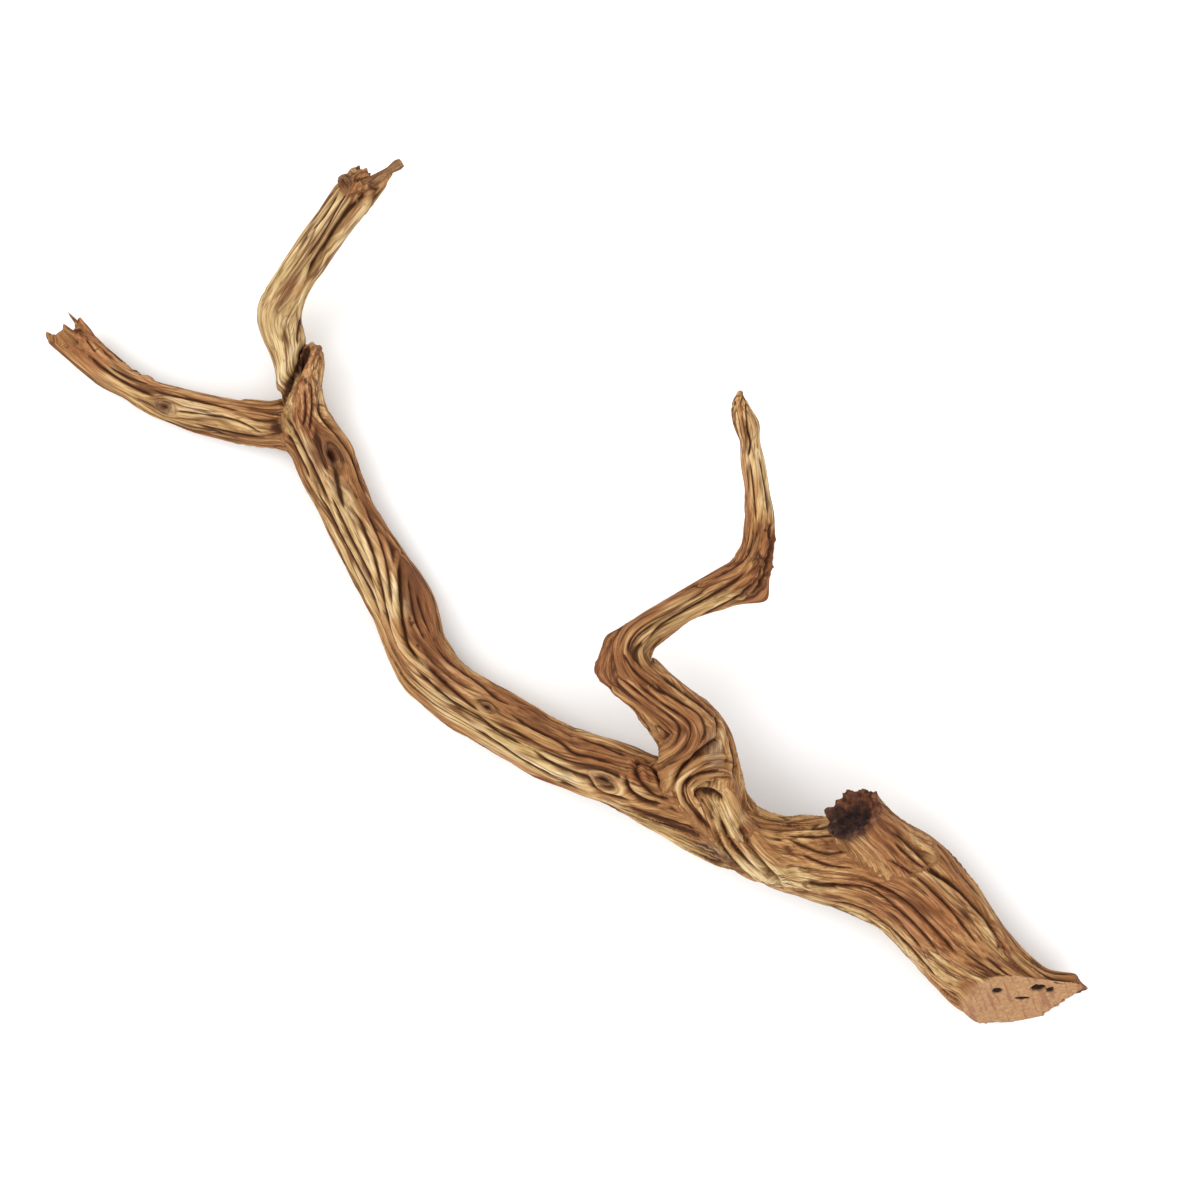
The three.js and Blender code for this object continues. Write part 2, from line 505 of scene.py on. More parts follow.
class LimbMaker:
    """Draws a limb out of a circle, ring by ring, and smooths it."""

    CROWDING = 0.26  # how much closer the columns stand on the upper side
    CAP_SHARES = (0.14, 0.42, 0.74, 0.94)  # of the radius, for the rings that close an open end
    BURIED_SHARES = (0.6,)
    SAWN_FADE = 75.0  # how far from the sawn end the rings still lean with the cut, mm
    RIM_CREASE = 0.8  # how sharp the rim of a broken end is

    def __init__(self, limb: Limb) -> None:
        """Reads the limb and spaces the columns round it.

        Args:
            limb: what to make.
        """
        self.limb = limb
        self.heart = Heart(limb.stations)
        even = np.arange(limb.columns) * 2.0 * math.pi / limb.columns
        self.angles = even + self.CROWDING * np.cos(even)

    def rings(self) -> list[tuple[float, float]]:
        """Spaces the rings.

        Returns:
            The distance along, mm, and the share of the radius of each ring, cap to cap.
        """
        length = self.heart.length - 1.0
        count = max(3, round(length / self.limb.spacing))
        sides = [(float(s), 1.0) for s in np.linspace(0.0, length, count + 1)]
        first = [(0.0, share) for share in self.shares(self.limb.start)]
        last = [(length, share) for share in reversed(self.shares(self.limb.finish))]
        return first + sides + last

    def shares(self, end: End) -> tuple[float, ...]:
        """Returns the shares of the radius of the rings that close an end."""
        return self.BURIED_SHARES if end is End.BURIED else self.CAP_SHARES

    def control(self, along: float, share: float) -> np.ndarray:
        """Places a ring's cage points so that the smoothed skin passes through the limb's own ring.

        Args:
            along: how far along the limb, mm.
            share: how far out, as a share of the radius.
        Returns:
            The points, one for each column, mm.
        """
        ring = self.heart.ring(along, self.angles, share)
        step = min(self.limb.spacing, along, self.heart.length - 1.0 - along)
        if step < 0.5 or share < 1.0:
            return ring
        before = self.heart.ring(along - step, self.angles, share)
        after = self.heart.ring(along + step, self.angles, share)
        return ring + (2.0 * ring - before - after) / 6.0

    @staticmethod
    def beyond_cut(places: np.ndarray) -> np.ndarray:
        """Returns how far places are past the cut, mm; the strip at its low end broke off longer."""
        aside = (places - SAWN_POINT)[:, :2] @ SAWN_ASIDE
        return (places - SAWN_POINT) @ SAWN_NORMAL - LOW_STRIP_RISE * smoothstep(*LOW_STRIP, aside)

    def sawn_ring(self, ring: np.ndarray, along: float) -> np.ndarray:
        """Slides a ring near the sawn end along the limb, so that the last one lies in the cut.

        Args:
            ring: the ring's points, mm.
            along: how far along the limb it is, mm.
        Returns:
            The points, moved.
        """
        forward = self.heart.look(self.heart.forward, np.array([0.0]))[0]
        cut = -self.beyond_cut(self.heart.ring(0.0, self.angles, 1.0)) / (forward @ SAWN_NORMAL)
        flat = -self.beyond_cut(ring) / (forward @ SAWN_NORMAL)
        fade = max(0.0, 1.0 - along / self.SAWN_FADE)
        slide = flat if along == 0.0 else cut * fade
        return ring + slide[:, None] * forward

    def place(self, mesh: bmesh.types.BMesh, number: int, along: float, share: float) -> None:
        """Puts the newest ring in its place and writes where it is on the limb.

        Args:
            mesh: the cage in edit mode, with the ring selected.
            number: the ring's number, from the start.
            along: how far along the limb it is, mm.
            share: how far out it is, as a share of the radius.
        """
        column = mesh.verts.layers.int["column"]
        row = mesh.verts.layers.int["row"]
        spot = mesh.verts.layers.float_vector["spot"]
        reach = mesh.verts.layers.float["share"]
        ring = self.control(along, share)
        if self.limb.start is End.SAWN:
            ring = self.sawn_ring(ring, along)
        for vertex in mesh.verts:
            if vertex.select:
                index = vertex[column]
                vertex[row] = number
                vertex[reach] = share
                vertex[spot] = (math.cos(self.angles[index]), math.sin(self.angles[index]), along * MM)
                vertex.co = ring[index] * MM

    def cage(self) -> bpy.types.Object:
        """Draws the cage out of a circle, one extrusion for each ring.

        Returns:
            The cage, closed at both ends.
        """
        bpy.ops.object.select_all(action="DESELECT")
        bpy.ops.mesh.primitive_circle_add(vertices=self.limb.columns, radius=0.01)
        cage = bpy.context.active_object
        cage.name = self.limb.name
        bpy.ops.object.mode_set(mode="EDIT")
        mesh = bmesh.from_edit_mesh(cage.data)
        column = mesh.verts.layers.int.new("column")
        mesh.verts.layers.int.new("row")
        mesh.verts.layers.float_vector.new("spot")
        mesh.verts.layers.float.new("share")
        mesh.verts.ensure_lookup_table()
        for number, vertex in enumerate(mesh.verts):
            vertex[column] = number
        rings = self.rings()
        for number, (along, share) in enumerate(rings):
            if number:
                bpy.ops.mesh.extrude_region_move()
                mesh = bmesh.from_edit_mesh(cage.data)
            self.place(mesh, number, along, share)
        self.close(cage, len(rings))
        bpy.ops.mesh.select_all(action="SELECT")
        bpy.ops.mesh.normals_make_consistent(inside=False)
        bpy.ops.object.mode_set(mode="OBJECT")
        return cage

    def close(self, cage: bpy.types.Object, count: int) -> None:
        """Sharpens the rims and draws the first and the last ring together.

        Args:
            cage: the cage, in edit mode.
            count: how many rings it has.
        """
        mesh = bmesh.from_edit_mesh(cage.data)
        rims = {
            len(self.shares(self.limb.start)): 1.0 if self.limb.start is End.SAWN else 0.0,
            count - 1 - len(self.CAP_SHARES): self.RIM_CREASE if self.limb.finish is not End.ROUNDED else 0.0,
        }
        row = mesh.verts.layers.int["row"]
        crease = mesh.edges.layers.float.get("crease_edge") or mesh.edges.layers.float.new("crease_edge")
        for edge in mesh.edges:
            if edge.verts[0][row] == edge.verts[1][row]:
                edge[crease] = rims.get(edge.verts[0][row], 0.0)
        for end in (0, count - 1):
            mesh = bmesh.from_edit_mesh(cage.data)
            row = mesh.verts.layers.int["row"]
            for vertex in mesh.verts:
                vertex.select_set(vertex[row] == end)
            bmesh.update_edit_mesh(cage.data)
            bpy.ops.mesh.merge(type="CENTER")

    def skin(self) -> Skin:
        """Smooths the cage and reads the places out.

        Returns:
            The limb's skin, not yet carved.
        """
        smooth = self.cage()
        divide = smooth.modifiers.new("smooth", "SUBSURF")
        divide.levels = self.limb.levels
        divide.render_levels = self.limb.levels
        bpy.ops.object.modifier_apply(modifier=divide.name)
        mesh = smooth.data
        count = len(mesh.vertices)
        places = np.empty(count * 3)
        mesh.vertices.foreach_get("co", places)
        spot = np.empty(count * 3)
        mesh.attributes["spot"].data.foreach_get("vector", spot)
        share = np.empty(count)
        mesh.attributes["share"].data.foreach_get("value", share)
        spot = spot.reshape(-1, 3)
        angle = np.arctan2(spot[:, 1], spot[:, 0])
        skin = Skin(
            self.limb, self.heart, smooth, places.reshape(-1, 3) / MM, np.zeros((count, 3)),
            spot[:, 2] / MM, angle, share,
        )
        skin.refresh()
        return skin


class Grain:
    """Which way the fibres run on a limb: straight along it, turned by its twist, steered by its grooves."""

    WANDER_SEED = 501  # the strands of every width stray together, so that they never cross
    STEP = 7.0  # the steering grooves are read at points this far apart, mm
    REACH_ROUND = 12.0  # how far a groove steers the fibres round the limb, mm
    REACH_ALONG = 48.0  # and along it, mm
    STIFFNESS = 0.12  # how strongly the fibres keep straight against the grooves
    FLOW_FADE = 9.0  # how far from its ends a flow lets the fibres go, mm
    PROBE = 0.4  # how far to the side the slope of the noise is read, mm

    def __init__(self, skin: Skin, work: "Features") -> None:
        """Lays the fibres along the limb and bends them by what is carved.

        Args:
            skin: the limb.
            work: what is carved.
        """
        grooves, knots = work.grooves, work.knots
        self.skin = skin
        heart = skin.heart
        self.radius = heart.look(heart.rows, skin.along)[:, 3:].mean(axis=1)
        self.mean = float(heart.rows[:, 3:].mean())
        self.turn = skin.angle + skin.limb.twist * skin.along
        self.turn += self.steer([g for g in grooves if g.steers and skin.limb.name in g.limbs.split()])
        for knot in knots:
            if knot.limb == skin.limb.name:
                self.part_round(knot)
        self.beds = [self.bed(flow) for flow in work.flows if skin.limb.name in flow.limbs.split()]

    def drawn_out(self, turn: np.ndarray) -> np.ndarray:
        """Returns each point's place across and along the fibres, mm; they run along the third axis."""
        return np.stack([np.cos(turn) * self.radius, np.sin(turn) * self.radius, self.skin.along], axis=1)

    def strongest(self) -> tuple[np.ndarray, np.ndarray]:
        """Finds the flow that holds each point most.

        Returns:
            Each point's place in that flow's bed, mm, and how much the flow holds it, from 0 to 1.
        """
        place = self.drawn_out(self.turn)
        best = np.zeros(len(place))
        for share, bed, _ in self.beds:
            place = np.where((share > best)[:, None], bed, place)
            best = np.maximum(best, share)
        return place, best

    def bed(self, flow: Flow) -> tuple[np.ndarray, np.ndarray, np.ndarray]:
        """Lays fibres beside a flow's line, which join those of the limb at its middle.

        Args:
            flow: the line.
        Returns:
            How much each point follows the flow, its place across and along the flow's fibres, mm, and
            the direction in those places that leads across the fibres.
        """
        skin = self.skin
        line = smooth_line(flow.line)
        plan = skin.places[:, :2]
        gap, run, side = distance_to_line(plan, line)
        length = float(np.linalg.norm(np.diff(line, axis=0), axis=1).sum())
        across = gap * side
        run = run * length
        share = smoothstep(1.5, 0.6, gap / flow.reach) * smoothstep(-0.1, 0.25, skin.outward[:, 2])
        share *= smoothstep(0.0, self.FLOW_FADE, run) * smoothstep(length, length - self.FLOW_FADE, run)
        from_middle = np.hypot(gap, run - 0.5 * length)
        middle = int(np.argmin(np.where(skin.outward[:, 2] > 0.1, from_middle, 1e3)))
        turn = self.turn[middle]
        radius = self.radius[middle]
        centre = np.array([np.cos(turn) * radius, np.sin(turn) * radius, skin.along[middle]])
        round_ = (self.turn - turn + math.pi) % (2 * math.pi) - math.pi
        same = np.sign((share * across * round_).sum()) or 1.0
        onward = np.sign((share * (run - 0.5 * length) * (skin.along - skin.along[middle])).sum()) or 1.0
        way = np.array([-math.sin(turn), math.cos(turn), 0.0])
        place = centre + way * (across * same)[:, None]
        place[:, 2] += (run - 0.5 * length) * onward
        return share, place, way[None, :] * same

    def kernel(self, a: tuple[np.ndarray, np.ndarray], b: tuple[np.ndarray, np.ndarray]) -> np.ndarray:
        """Measures how strongly places answer to each other.

        Args:
            a, b: angles round the limb and distances along it, mm.
        Returns:
            A share for each place of a and each place of b.
        """
        turn = (a[0][:, None] - b[0][None] + math.pi) % (2 * math.pi) - math.pi
        run = (a[1][:, None] - b[1][None]) / self.REACH_ALONG
        return np.exp(-((turn * self.mean / self.REACH_ROUND) ** 2) - run**2)

    def steer(self, grooves: list[Groove]) -> np.ndarray:
        """Finds the smooth turn of the fibres that makes each groove run along one fibre.

        Args:
            grooves: the ones on this limb.
        Returns:
            The extra turn at each point of the skin, in radians.
        """
        if not grooves:
            return np.zeros(len(self.skin.places))
        angles, alongs, pairs = [], [], []
        for groove in grooves:
            line = smooth_line(groove.line)
            run = np.concatenate([[0.0], np.cumsum(np.linalg.norm(np.diff(line, axis=0), axis=1))])
            even = np.linspace(0.0, run[-1], max(2, round(run[-1] / self.STEP) + 1))
            plan = np.stack([np.interp(even, run, line[:, i]) for i in (0, 1)], axis=1)
            along, angle = self.skin.heart.locate(plan)
            base = len(angles)
            angles.extend(angle)
            alongs.extend(along)
            pairs.extend((base + i, base + i + 1) for i in range(len(plan) - 1))
        spots = (np.array(angles), np.array(alongs))
        first, second = np.array(pairs).T
        pull = self.kernel(spots, spots)
        steps = pull[second] - pull[first]
        turned = spots[0] + self.skin.limb.twist * spots[1]
        wanted = -(turned[second] - turned[first])
        bend = steps.T @ steps + self.STIFFNESS * pull + 1e-6 * np.eye(len(pull))
        weights = np.linalg.solve(bend, steps.T @ wanted)
        extra = np.empty(len(self.skin.places))
        for low in range(0, len(extra), BATCH):
            part = slice(low, low + BATCH)
            extra[part] = self.kernel((self.skin.angle[part], self.skin.along[part]), spots) @ weights
        return extra

    def part_round(self, knot: Knot) -> None:
        """Bends the fibres round a knot, as water parts round a post.

        Args:
            knot: the knot.
        """
        round_, run, reach = self.spread(knot.x, knot.y, knot.stretch)
        away = np.maximum(reach, knot.radius * 0.5)
        share = 1.0 - (knot.radius / away) ** 2 * smoothstep(knot.radius * 4.5, knot.radius * 1.2, reach)
        self.turn += round_ * (share - 1.0) / self.mean

    def spread(self, x: float, y: float, stretch: float) -> tuple[np.ndarray, np.ndarray, np.ndarray]:
        """Measures over the skin from a place.

        Args:
            x, y: the place in plan, mm.
            stretch: how many times less a way along the limb counts than a way round it.
        Returns:
            Each point's way round, its way along, and its stretched distance, mm.
        """
        along, angle = self.skin.heart.locate(np.array([[x, y]]))
        turn = (self.skin.angle - angle[0] + math.pi) % (2 * math.pi) - math.pi
        round_ = turn * self.radius
        run = self.skin.along - along[0]
        return round_, run, np.hypot(round_, run / stretch)

    def fibres(
        self, width: float, stretch: float, seed: int, wander: float = 0.0, aside: float = 0.0
    ) -> np.ndarray:
        """Returns noise drawn out along the fibres.

        Args:
            width: how wide a strand is, mm.
            stretch: how many times longer than wide it is.
            seed: which pattern.
            wander: how far the strands stray sideways, mm.
            aside: how far to the side of each point to look, mm.
        Returns:
            A value for each point, mostly within 0.6 of zero.
        """
        slow = (14.0, 14.0, 42.0)
        fine = (width, width, width * stretch)
        drift = GradientNoise(self.WANDER_SEED)
        noise = GradientNoise(seed)
        stray = drift(self.drawn_out(self.turn) / slow) * wander + aside
        value = noise(self.drawn_out(self.turn + stray / self.mean) / fine)
        for share, bed, across in self.beds:
            held = share > 0.0
            stray = drift(bed[held] / slow) * wander + aside
            value[held] += share[held] * (noise((bed[held] + across * stray[:, None]) / fine) - value[held])
        return value

    def lines(self, width: float, stretch: float, seed: int, wander: float) -> np.ndarray:
        """Draws lines of an even width between the strands.

        Args:
            width, stretch, seed, wander: as for fibres().
        Returns:
            How far each point lies from the nearest line, mm.
        """
        here = self.fibres(width, stretch, seed, wander)
        beside = self.fibres(width, stretch, seed, wander, self.PROBE)
        slope = np.abs(beside - here) / self.PROBE
        return np.abs(here) / np.maximum(slope, 0.35 / width)


@dataclass(frozen=True)
class StrandCut:
    """One size of groove between strands.

    Attributes:
        width: of a strand, mm.
        stretch: how many times longer than wide the strand is.
        depth, narrow: depth and half width of the groove, mm.
        share: how much of the groove's dark colour it has.
    """

    width: float
    stretch: float
    depth: float
    narrow: float
    share: float


class Carver:
    """Turns a smooth skin into weathered wood: strands, grooves, knots, swellings and torn ends."""

    FAR = 99.0  # mm
    STRANDS = (
        StrandCut(8.0, 20.0, 2.4, 1.7, 1.0),
        StrandCut(4.6, 26.0, 1.5, 1.2, 0.9),
        StrandCut(2.8, 32.0, 0.6, 0.9, 0.65),
    )
    STRAY = 4.0  # how far the strands stray sideways, mm
    LIP = 0.28  # height of a groove's lips, against its depth
    LIT_RIM = 3.4  # the side of the charred rim that shows scorched red wood, as an angle round the limb
    SAW_MARKS = 2.9  # from one mark of the saw to the next, mm
    # Worm holes and a split in the sawn face: x, y, half length, half width and depth, mm.
    PITS = (
        (256, -235, 2.6, 1.7, 3.0),
        (281, -234, 4.2, 2.0, 5.0),
        (289, -235.5, 2.0, 1.8, 3.0),
        (272, -240.5, 4.0, 0.9, 1.5),
    )

    def __init__(self, skin: Skin, others: list[tuple[Heart, float]], work: "Features") -> None:
        """Takes up the limb.

        Args:
            skin: the limb's skin.
            others: the hearts of the limbs that it meets, and how softly it melts into each, mm.
            work: what to carve.
        """
        self.skin = skin
        self.others = others
        self.work = work
        self.grain = Grain(skin, work)
        self.seed = sum(ord(letter) for letter in skin.limb.name)  # gives each limb its own patterns

    def carve(self) -> None:
        """Carves everything, from the large forms to the fine ones, and keeps it above the table."""
        self.tear_ends()
        self.swell()
        self.melt()
        self.skin.refresh()
        self.tint()
        self.cut_strands()
        self.cut_grooves()
        self.set_knots()
        self.crumble()
        if self.skin.limb.finish is End.CHARRED:
            self.burn()
        low = self.skin.places[:, 2]
        self.skin.places[:, 2] = np.where(low < 1.0, np.exp(np.minimum(low - 1.0, 0.0)), low)
        self.skin.refresh()
        if self.skin.limb.start is End.SAWN:
            self.saw()

    def ground(self) -> np.ndarray:
        """Returns 1 where the skin is free to be carved, falling to 0 on end caps."""
        return smoothstep(0.5, 0.97, self.skin.share)

    def tear_ends(self) -> None:
        """Draws the torn fibres of a snapped end out into prongs."""
        limb, heart = self.skin.limb, self.skin.heart
        if limb.finish is not End.SNAPPED:
            return
        near = smoothstep(heart.length - limb.reach, heart.length - 2.0, self.skin.along)
        across = np.cos(self.skin.angle) * self.skin.share
        upward = np.sin(self.skin.angle) * self.skin.share
        section = np.stack([across, upward, np.zeros(len(across))], axis=1)
        torn = GradientNoise(self.seed + 3)(section * 2.2)
        fine = GradientNoise(self.seed + 4)(section * 5.0)
        height = torn * 7.0 + fine * 4.0 - 4.0 * (1.0 - self.skin.share**2)
        for tooth in limb.teeth:
            gap = np.hypot(across - tooth.across, upward - tooth.up)
            height += tooth.height * np.exp(-((gap / tooth.width) ** 2))
        forward = heart.look(heart.forward, self.skin.along)
        self.skin.places += forward * (near * height)[:, None]

    def swell(self) -> None:
        """Raises the bumps and sinks the dents of this limb."""
        for swell in self.work.swells:
            if swell.limb != self.skin.limb.name:
                continue
            gap = np.linalg.norm(self.skin.places[:, :2] - (swell.x, swell.y), axis=1)
            if swell.z is not None:
                gap = np.hypot(gap, self.skin.places[:, 2] - swell.z)
            else:
                gap = np.where(self.skin.outward[:, 2] > -0.2, gap, 1e3)
            share = np.exp(-((gap / swell.radius) ** 2))
            self.skin.push(swell.height * share)
            if swell.pull is not None:
                self.skin.places += np.array(swell.pull) * share[:, None]

    def melt(self) -> None:
        """Swells the skin softly where it meets another limb."""
        lift = np.zeros(len(self.skin.places))
        for other, melt in self.others:
            gap = other.distance(self.skin.places)
            lift = np.maximum(lift, 0.25 * melt * np.clip(1.0 - np.abs(gap) / melt, 0.0, 1.0) ** 2)
        self.skin.push(lift * self.ground())

    def drawn(self) -> np.ndarray:
        """Measures from the points to the grooves that are drawn one by one.

        Returns:
            How far each point lies in plan from the nearest one, mm, or FAR where none is near.
        """
        skin = self.skin
        best = np.full(len(skin.places), self.FAR)
        for groove in self.work.grooves:
            if skin.limb.name not in groove.limbs.split():
                continue
            line = smooth_line(groove.line)
            low, high = line.min(axis=0) - 8.0, line.max(axis=0) + 8.0
            near = np.all((skin.places[:, :2] > low) & (skin.places[:, :2] < high), axis=1)
            near &= skin.outward[:, 2] > -0.1
            if near.any():
                gap = distance_to_line(skin.places[near, :2], line)[0]
                best[near] = np.minimum(best[near], gap)
        return best

    def cut_strands(self) -> None:
        """Cuts the grooves between the strands, from the broad ones to the fine ones."""
        grain, size = self.grain, self.skin.limb.strand
        slow = grain.fibres(16.0, 3.0, self.seed + 10)
        lobes = grain.fibres(10.0, 9.0, self.seed + 11, 4.0)
        bumps = grain.fibres(9.0, 2.0, self.seed + 12)
        calm = 1.0 - self.skin.mark("calm")
        relief = (lobes * 2.6 + bumps * 1.5) * size * calm
        cavity = np.zeros(len(relief))
        # The broader strands stay clear of the grooves that are drawn one by one.
        clear = smoothstep(1.5, 5.0, self.drawn())
        for number, cut in enumerate(self.STRANDS):
            gap = grain.lines(cut.width, cut.stretch, self.seed + 20 + number, self.STRAY)
            here = np.clip(0.6 + 1.7 * grain.fibres(5.0, 9.0, self.seed + 40 + number), 0.0, 1.25)
            here = here * (clear if number < 2 else 1.0)
            here = here * (calm if number < 1 else 0.4 + 0.6 * calm)
            relief -= np.clip(1.0 - gap / cut.narrow, 0.0, 1.0) ** 0.8 * here * cut.depth * size
            # Painted shade: the lines between the strands are marked to be drawn dark.
            line = np.clip(1.0 - gap / (0.75 * cut.narrow), 0.0, 1.0)
            cavity = np.maximum(cavity, line**0.6 * np.clip(here, 0, 1) * cut.share)
        self.skin.push(relief * self.ground())
        self.skin.mark("cavity")[:] = cavity
        # High strands are marked lighter and low ones darker, partly bleaching and partly painted shade, with
        # random tone mixed in.
        self.skin.mark("crest")[:] = np.clip(0.5 + relief / (3.0 * size) + 0.5 * slow * calm, 0.0, 1.0)

    def cut_grooves(self) -> None:
        """Cuts the deep grooves that are drawn one by one, with a lip on each side."""
        skin = self.skin
        for groove in self.work.grooves:
            if skin.limb.name not in groove.limbs.split():
                continue
            seen = smoothstep(*((-0.75, -0.45) if groove.steep else (-0.15, 0.2)), skin.outward[:, 2])
            line = smooth_line(groove.line)
            low, high = line.min(axis=0) - 12.0, line.max(axis=0) + 12.0
            near = np.all((skin.places[:, :2] > low) & (skin.places[:, :2] < high), axis=1)
            if not near.any():
                continue
            plan = skin.places[near, :2]
            cells = np.stack([plan[:, 0] / 7, plan[:, 1] / 7, plan[:, 0] * 0], axis=1)
            ragged = GradientNoise(self.seed + 60)(cells)
            gap, run, _ = distance_to_line(plan, line)
            gap = np.abs(gap + ragged * groove.width * 0.5)
            taper = np.clip(np.sin(np.pi * np.clip(run, 0.03, 0.97)) * 2.2, 0.0, 1.0) * seen[near]
            narrow = groove.width * (0.35 + 0.5 * taper)
            cut = np.exp(-((gap / narrow) ** 2)) * taper
            lip = np.exp(-(((gap - narrow * 2.3) / (narrow * 1.2)) ** 2)) * taper
            height = np.zeros(len(skin.places))
            height[near] = -groove.depth * cut + groove.depth * self.LIP * lip
            skin.push(height)
            # Painted shade, with some dirt: the bottom of the groove is marked to be drawn dark.
            dark = np.exp(-((gap / (0.62 * narrow)) ** 2)) * np.clip(taper * 1.3, 0.0, 1.0) * groove.dark
            skin.mark("cavity")[near] = np.maximum(skin.mark("cavity")[near] * (1.0 - 0.5 * lip), dark)
            skin.mark("crest")[near] = np.clip(skin.mark("crest")[near] + 0.35 * lip - cut, 0.0, 1.0)

    def set_knots(self) -> None:
        """Raises a collar round each knot, with rings inside it and a hole in its middle."""
        skin = self.skin
        for knot in self.work.knots:
            if knot.limb != skin.limb.name:
                continue
            _, _, reach = self.grain.spread(knot.x, knot.y, knot.stretch)
            gap = reach / knot.radius
            collar = np.exp(-(((gap - 1.15) / 0.45) ** 2))
            rings = np.sin(gap * 9.0 + 3.0 * GradientNoise(self.seed + 70)(skin.places / 5.0))
            hole = np.exp(-((gap / 0.42) ** 2))
            skin.push(knot.rise * collar + 0.07 * rings * np.exp(-((gap / 1.1) ** 2)) - knot.hole * hole)
            inside = np.exp(-((gap / 0.95) ** 4))
            # Painted shade: the knot's hole is marked to be drawn dark.
            around = skin.mark("cavity") * (1 - 0.7 * inside)
            skin.mark("cavity")[:] = np.maximum(around, hole * min(1.0, knot.hole))
            skin.mark("knot")[:] = np.maximum(skin.mark("knot"), inside)

    def crumble(self) -> None:
        """Breaks up the skin where bark still clings."""
        skin = self.skin
        coarse = GradientNoise(self.seed + 90)
        fine = GradientNoise(self.seed + 91)
        for rough in self.work.roughs:
            if rough.limb != skin.limb.name:
                continue
            round_, run, _ = self.grain.spread(rough.x, rough.y, 1.0)
            gap = np.hypot(round_ / rough.across, run / rough.along)
            near = gap < 1.6
            share = smoothstep(1.3, 0.7, gap[near])
            lumps = coarse(skin.places[near] / 4.2) + 0.5 * fine(skin.places[near] / 1.9)
            height = np.zeros(len(gap))
            height[near] = share * (0.45 * rough.height + lumps * 2.2 * rough.height)
            skin.push(height)
            # Painted shade: the low crumbs are marked to be drawn dark.
            dark = share * smoothstep(-0.1, -0.5, lumps) * 0.75
            skin.mark("cavity")[near] = np.maximum(skin.mark("cavity")[near], dark)
            skin.mark("red")[near] = np.maximum(skin.mark("red")[near], share * 0.85)

    def tint(self) -> None:
        """Marks the patches of redder, greyer, yellower and browner wood."""
        skin = self.skin
        for number, patch in enumerate(self.work.patches):
            if patch.limb != skin.limb.name:
                continue
            round_, run, _ = self.grain.spread(patch.x, patch.y, 1.0)
            edge = self.grain.fibres(5.0, 6.0, self.seed + 80 + number)
            gap = np.hypot(round_ / patch.across, run / patch.along) + edge * 0.9
            share = smoothstep(1.25, 0.6, gap) * patch.strength
            mark = skin.mark(patch.tone.value)
            mark[:] = np.maximum(mark, share)

    def burn(self) -> None:
        """Hollows the charred end into a cup with a scalloped rim."""
        skin, heart = self.skin, self.skin.heart
        forward = heart.look(heart.forward, skin.along)
        reach = smoothstep(heart.length - 9.0, heart.length - 1.0, skin.along)
        scallop = np.abs(np.sin(skin.angle * 4.5 + 0.6 * np.sin(skin.angle * 2.0)))
        lumps = GradientNoise(self.seed + 7)(skin.places / 4.5)
        rim = reach * smoothstep(0.55, 0.95, skin.share)
        axis = heart.look(heart.rows, skin.along)[:, :3]
        outwards = skin.places - axis
        outwards -= forward * np.einsum("ij,ij->i", outwards, forward)[:, None]
        outwards /= np.maximum(np.linalg.norm(outwards, axis=1), 0.1)[:, None]
        skin.places += outwards * (rim * (2.6 * scallop - 1.0 + lumps * 2.0))[:, None]
        cup = (1.0 - smoothstep(0.1, 0.9, skin.share)) * 9.0
        folds = np.stack([np.cos(skin.angle) * 4.2, np.sin(skin.angle) * 4.2, skin.share * 1.2], axis=1)
        rough = -np.abs(GradientNoise(self.seed + 9)(folds)) * 7.0 * smoothstep(0.1, 0.5, skin.share)
        rough += GradientNoise(self.seed + 8)(skin.places / 3.0) * 2.6
        rough *= 1.0 - smoothstep(0.75, 0.98, skin.share)
        skin.places += forward * (rim * (1.6 * scallop + lumps * 2.5) - cup + rough)[:, None]
        near = smoothstep(heart.length - 8.0, heart.length - 2.0, skin.along + lumps * 5.0)
        skin.mark("char")[:] = np.maximum(near, 1.0 - smoothstep(0.9, 1.0, skin.share))
        lit = 0.5 + 0.5 * np.cos(skin.angle - self.LIT_RIM)
        skin.mark("ember")[:] = smoothstep(0.3, 0.85, skin.share * (0.45 + 0.6 * lit) + lumps * 0.25)

    def saw(self) -> None:
        """Brings the sawn end back into the plane of the cut and gives it its saw marks."""
        skin = self.skin
        forward = skin.heart.look(skin.heart.forward, np.zeros(1))[0]
        gap = LimbMaker.beyond_cut(skin.places)
        face = (skin.share < 0.995) & (skin.along < 20.0)
        beyond = (gap > 0.0) | face
        slide = np.where(beyond, gap / (forward @ SAWN_NORMAL), 0.0)
        skin.places -= forward * slide[:, None]
        skin.mark("sawn")[:] = face.astype(float)
        across = np.cross(SAWN_NORMAL, forward)
        across /= np.linalg.norm(across)
        lines = np.sin((skin.places @ np.cross(across, SAWN_NORMAL)) * 2.0 * math.pi / self.SAW_MARKS)
        rough = GradientNoise(77)(skin.places / 2.6)
        marks = face * (0.1 * lines + 0.06 * rough)
        for x, y, half_length, half_width, depth in self.PITS:
            gap = np.hypot((skin.places[:, 0] - x) / half_length, (skin.places[:, 1] - y) / half_width)
            pit = face * np.exp(-(np.maximum(gap + 0.35 * rough, 0.0) ** 4))
            marks -= pit * depth
            skin.mark("pit")[:] = np.maximum(skin.mark("pit"), pit)
        skin.places += SAWN_NORMAL * marks[:, None]
        skin.refresh()


# The limbs and their features --------------------------------------------------------------------

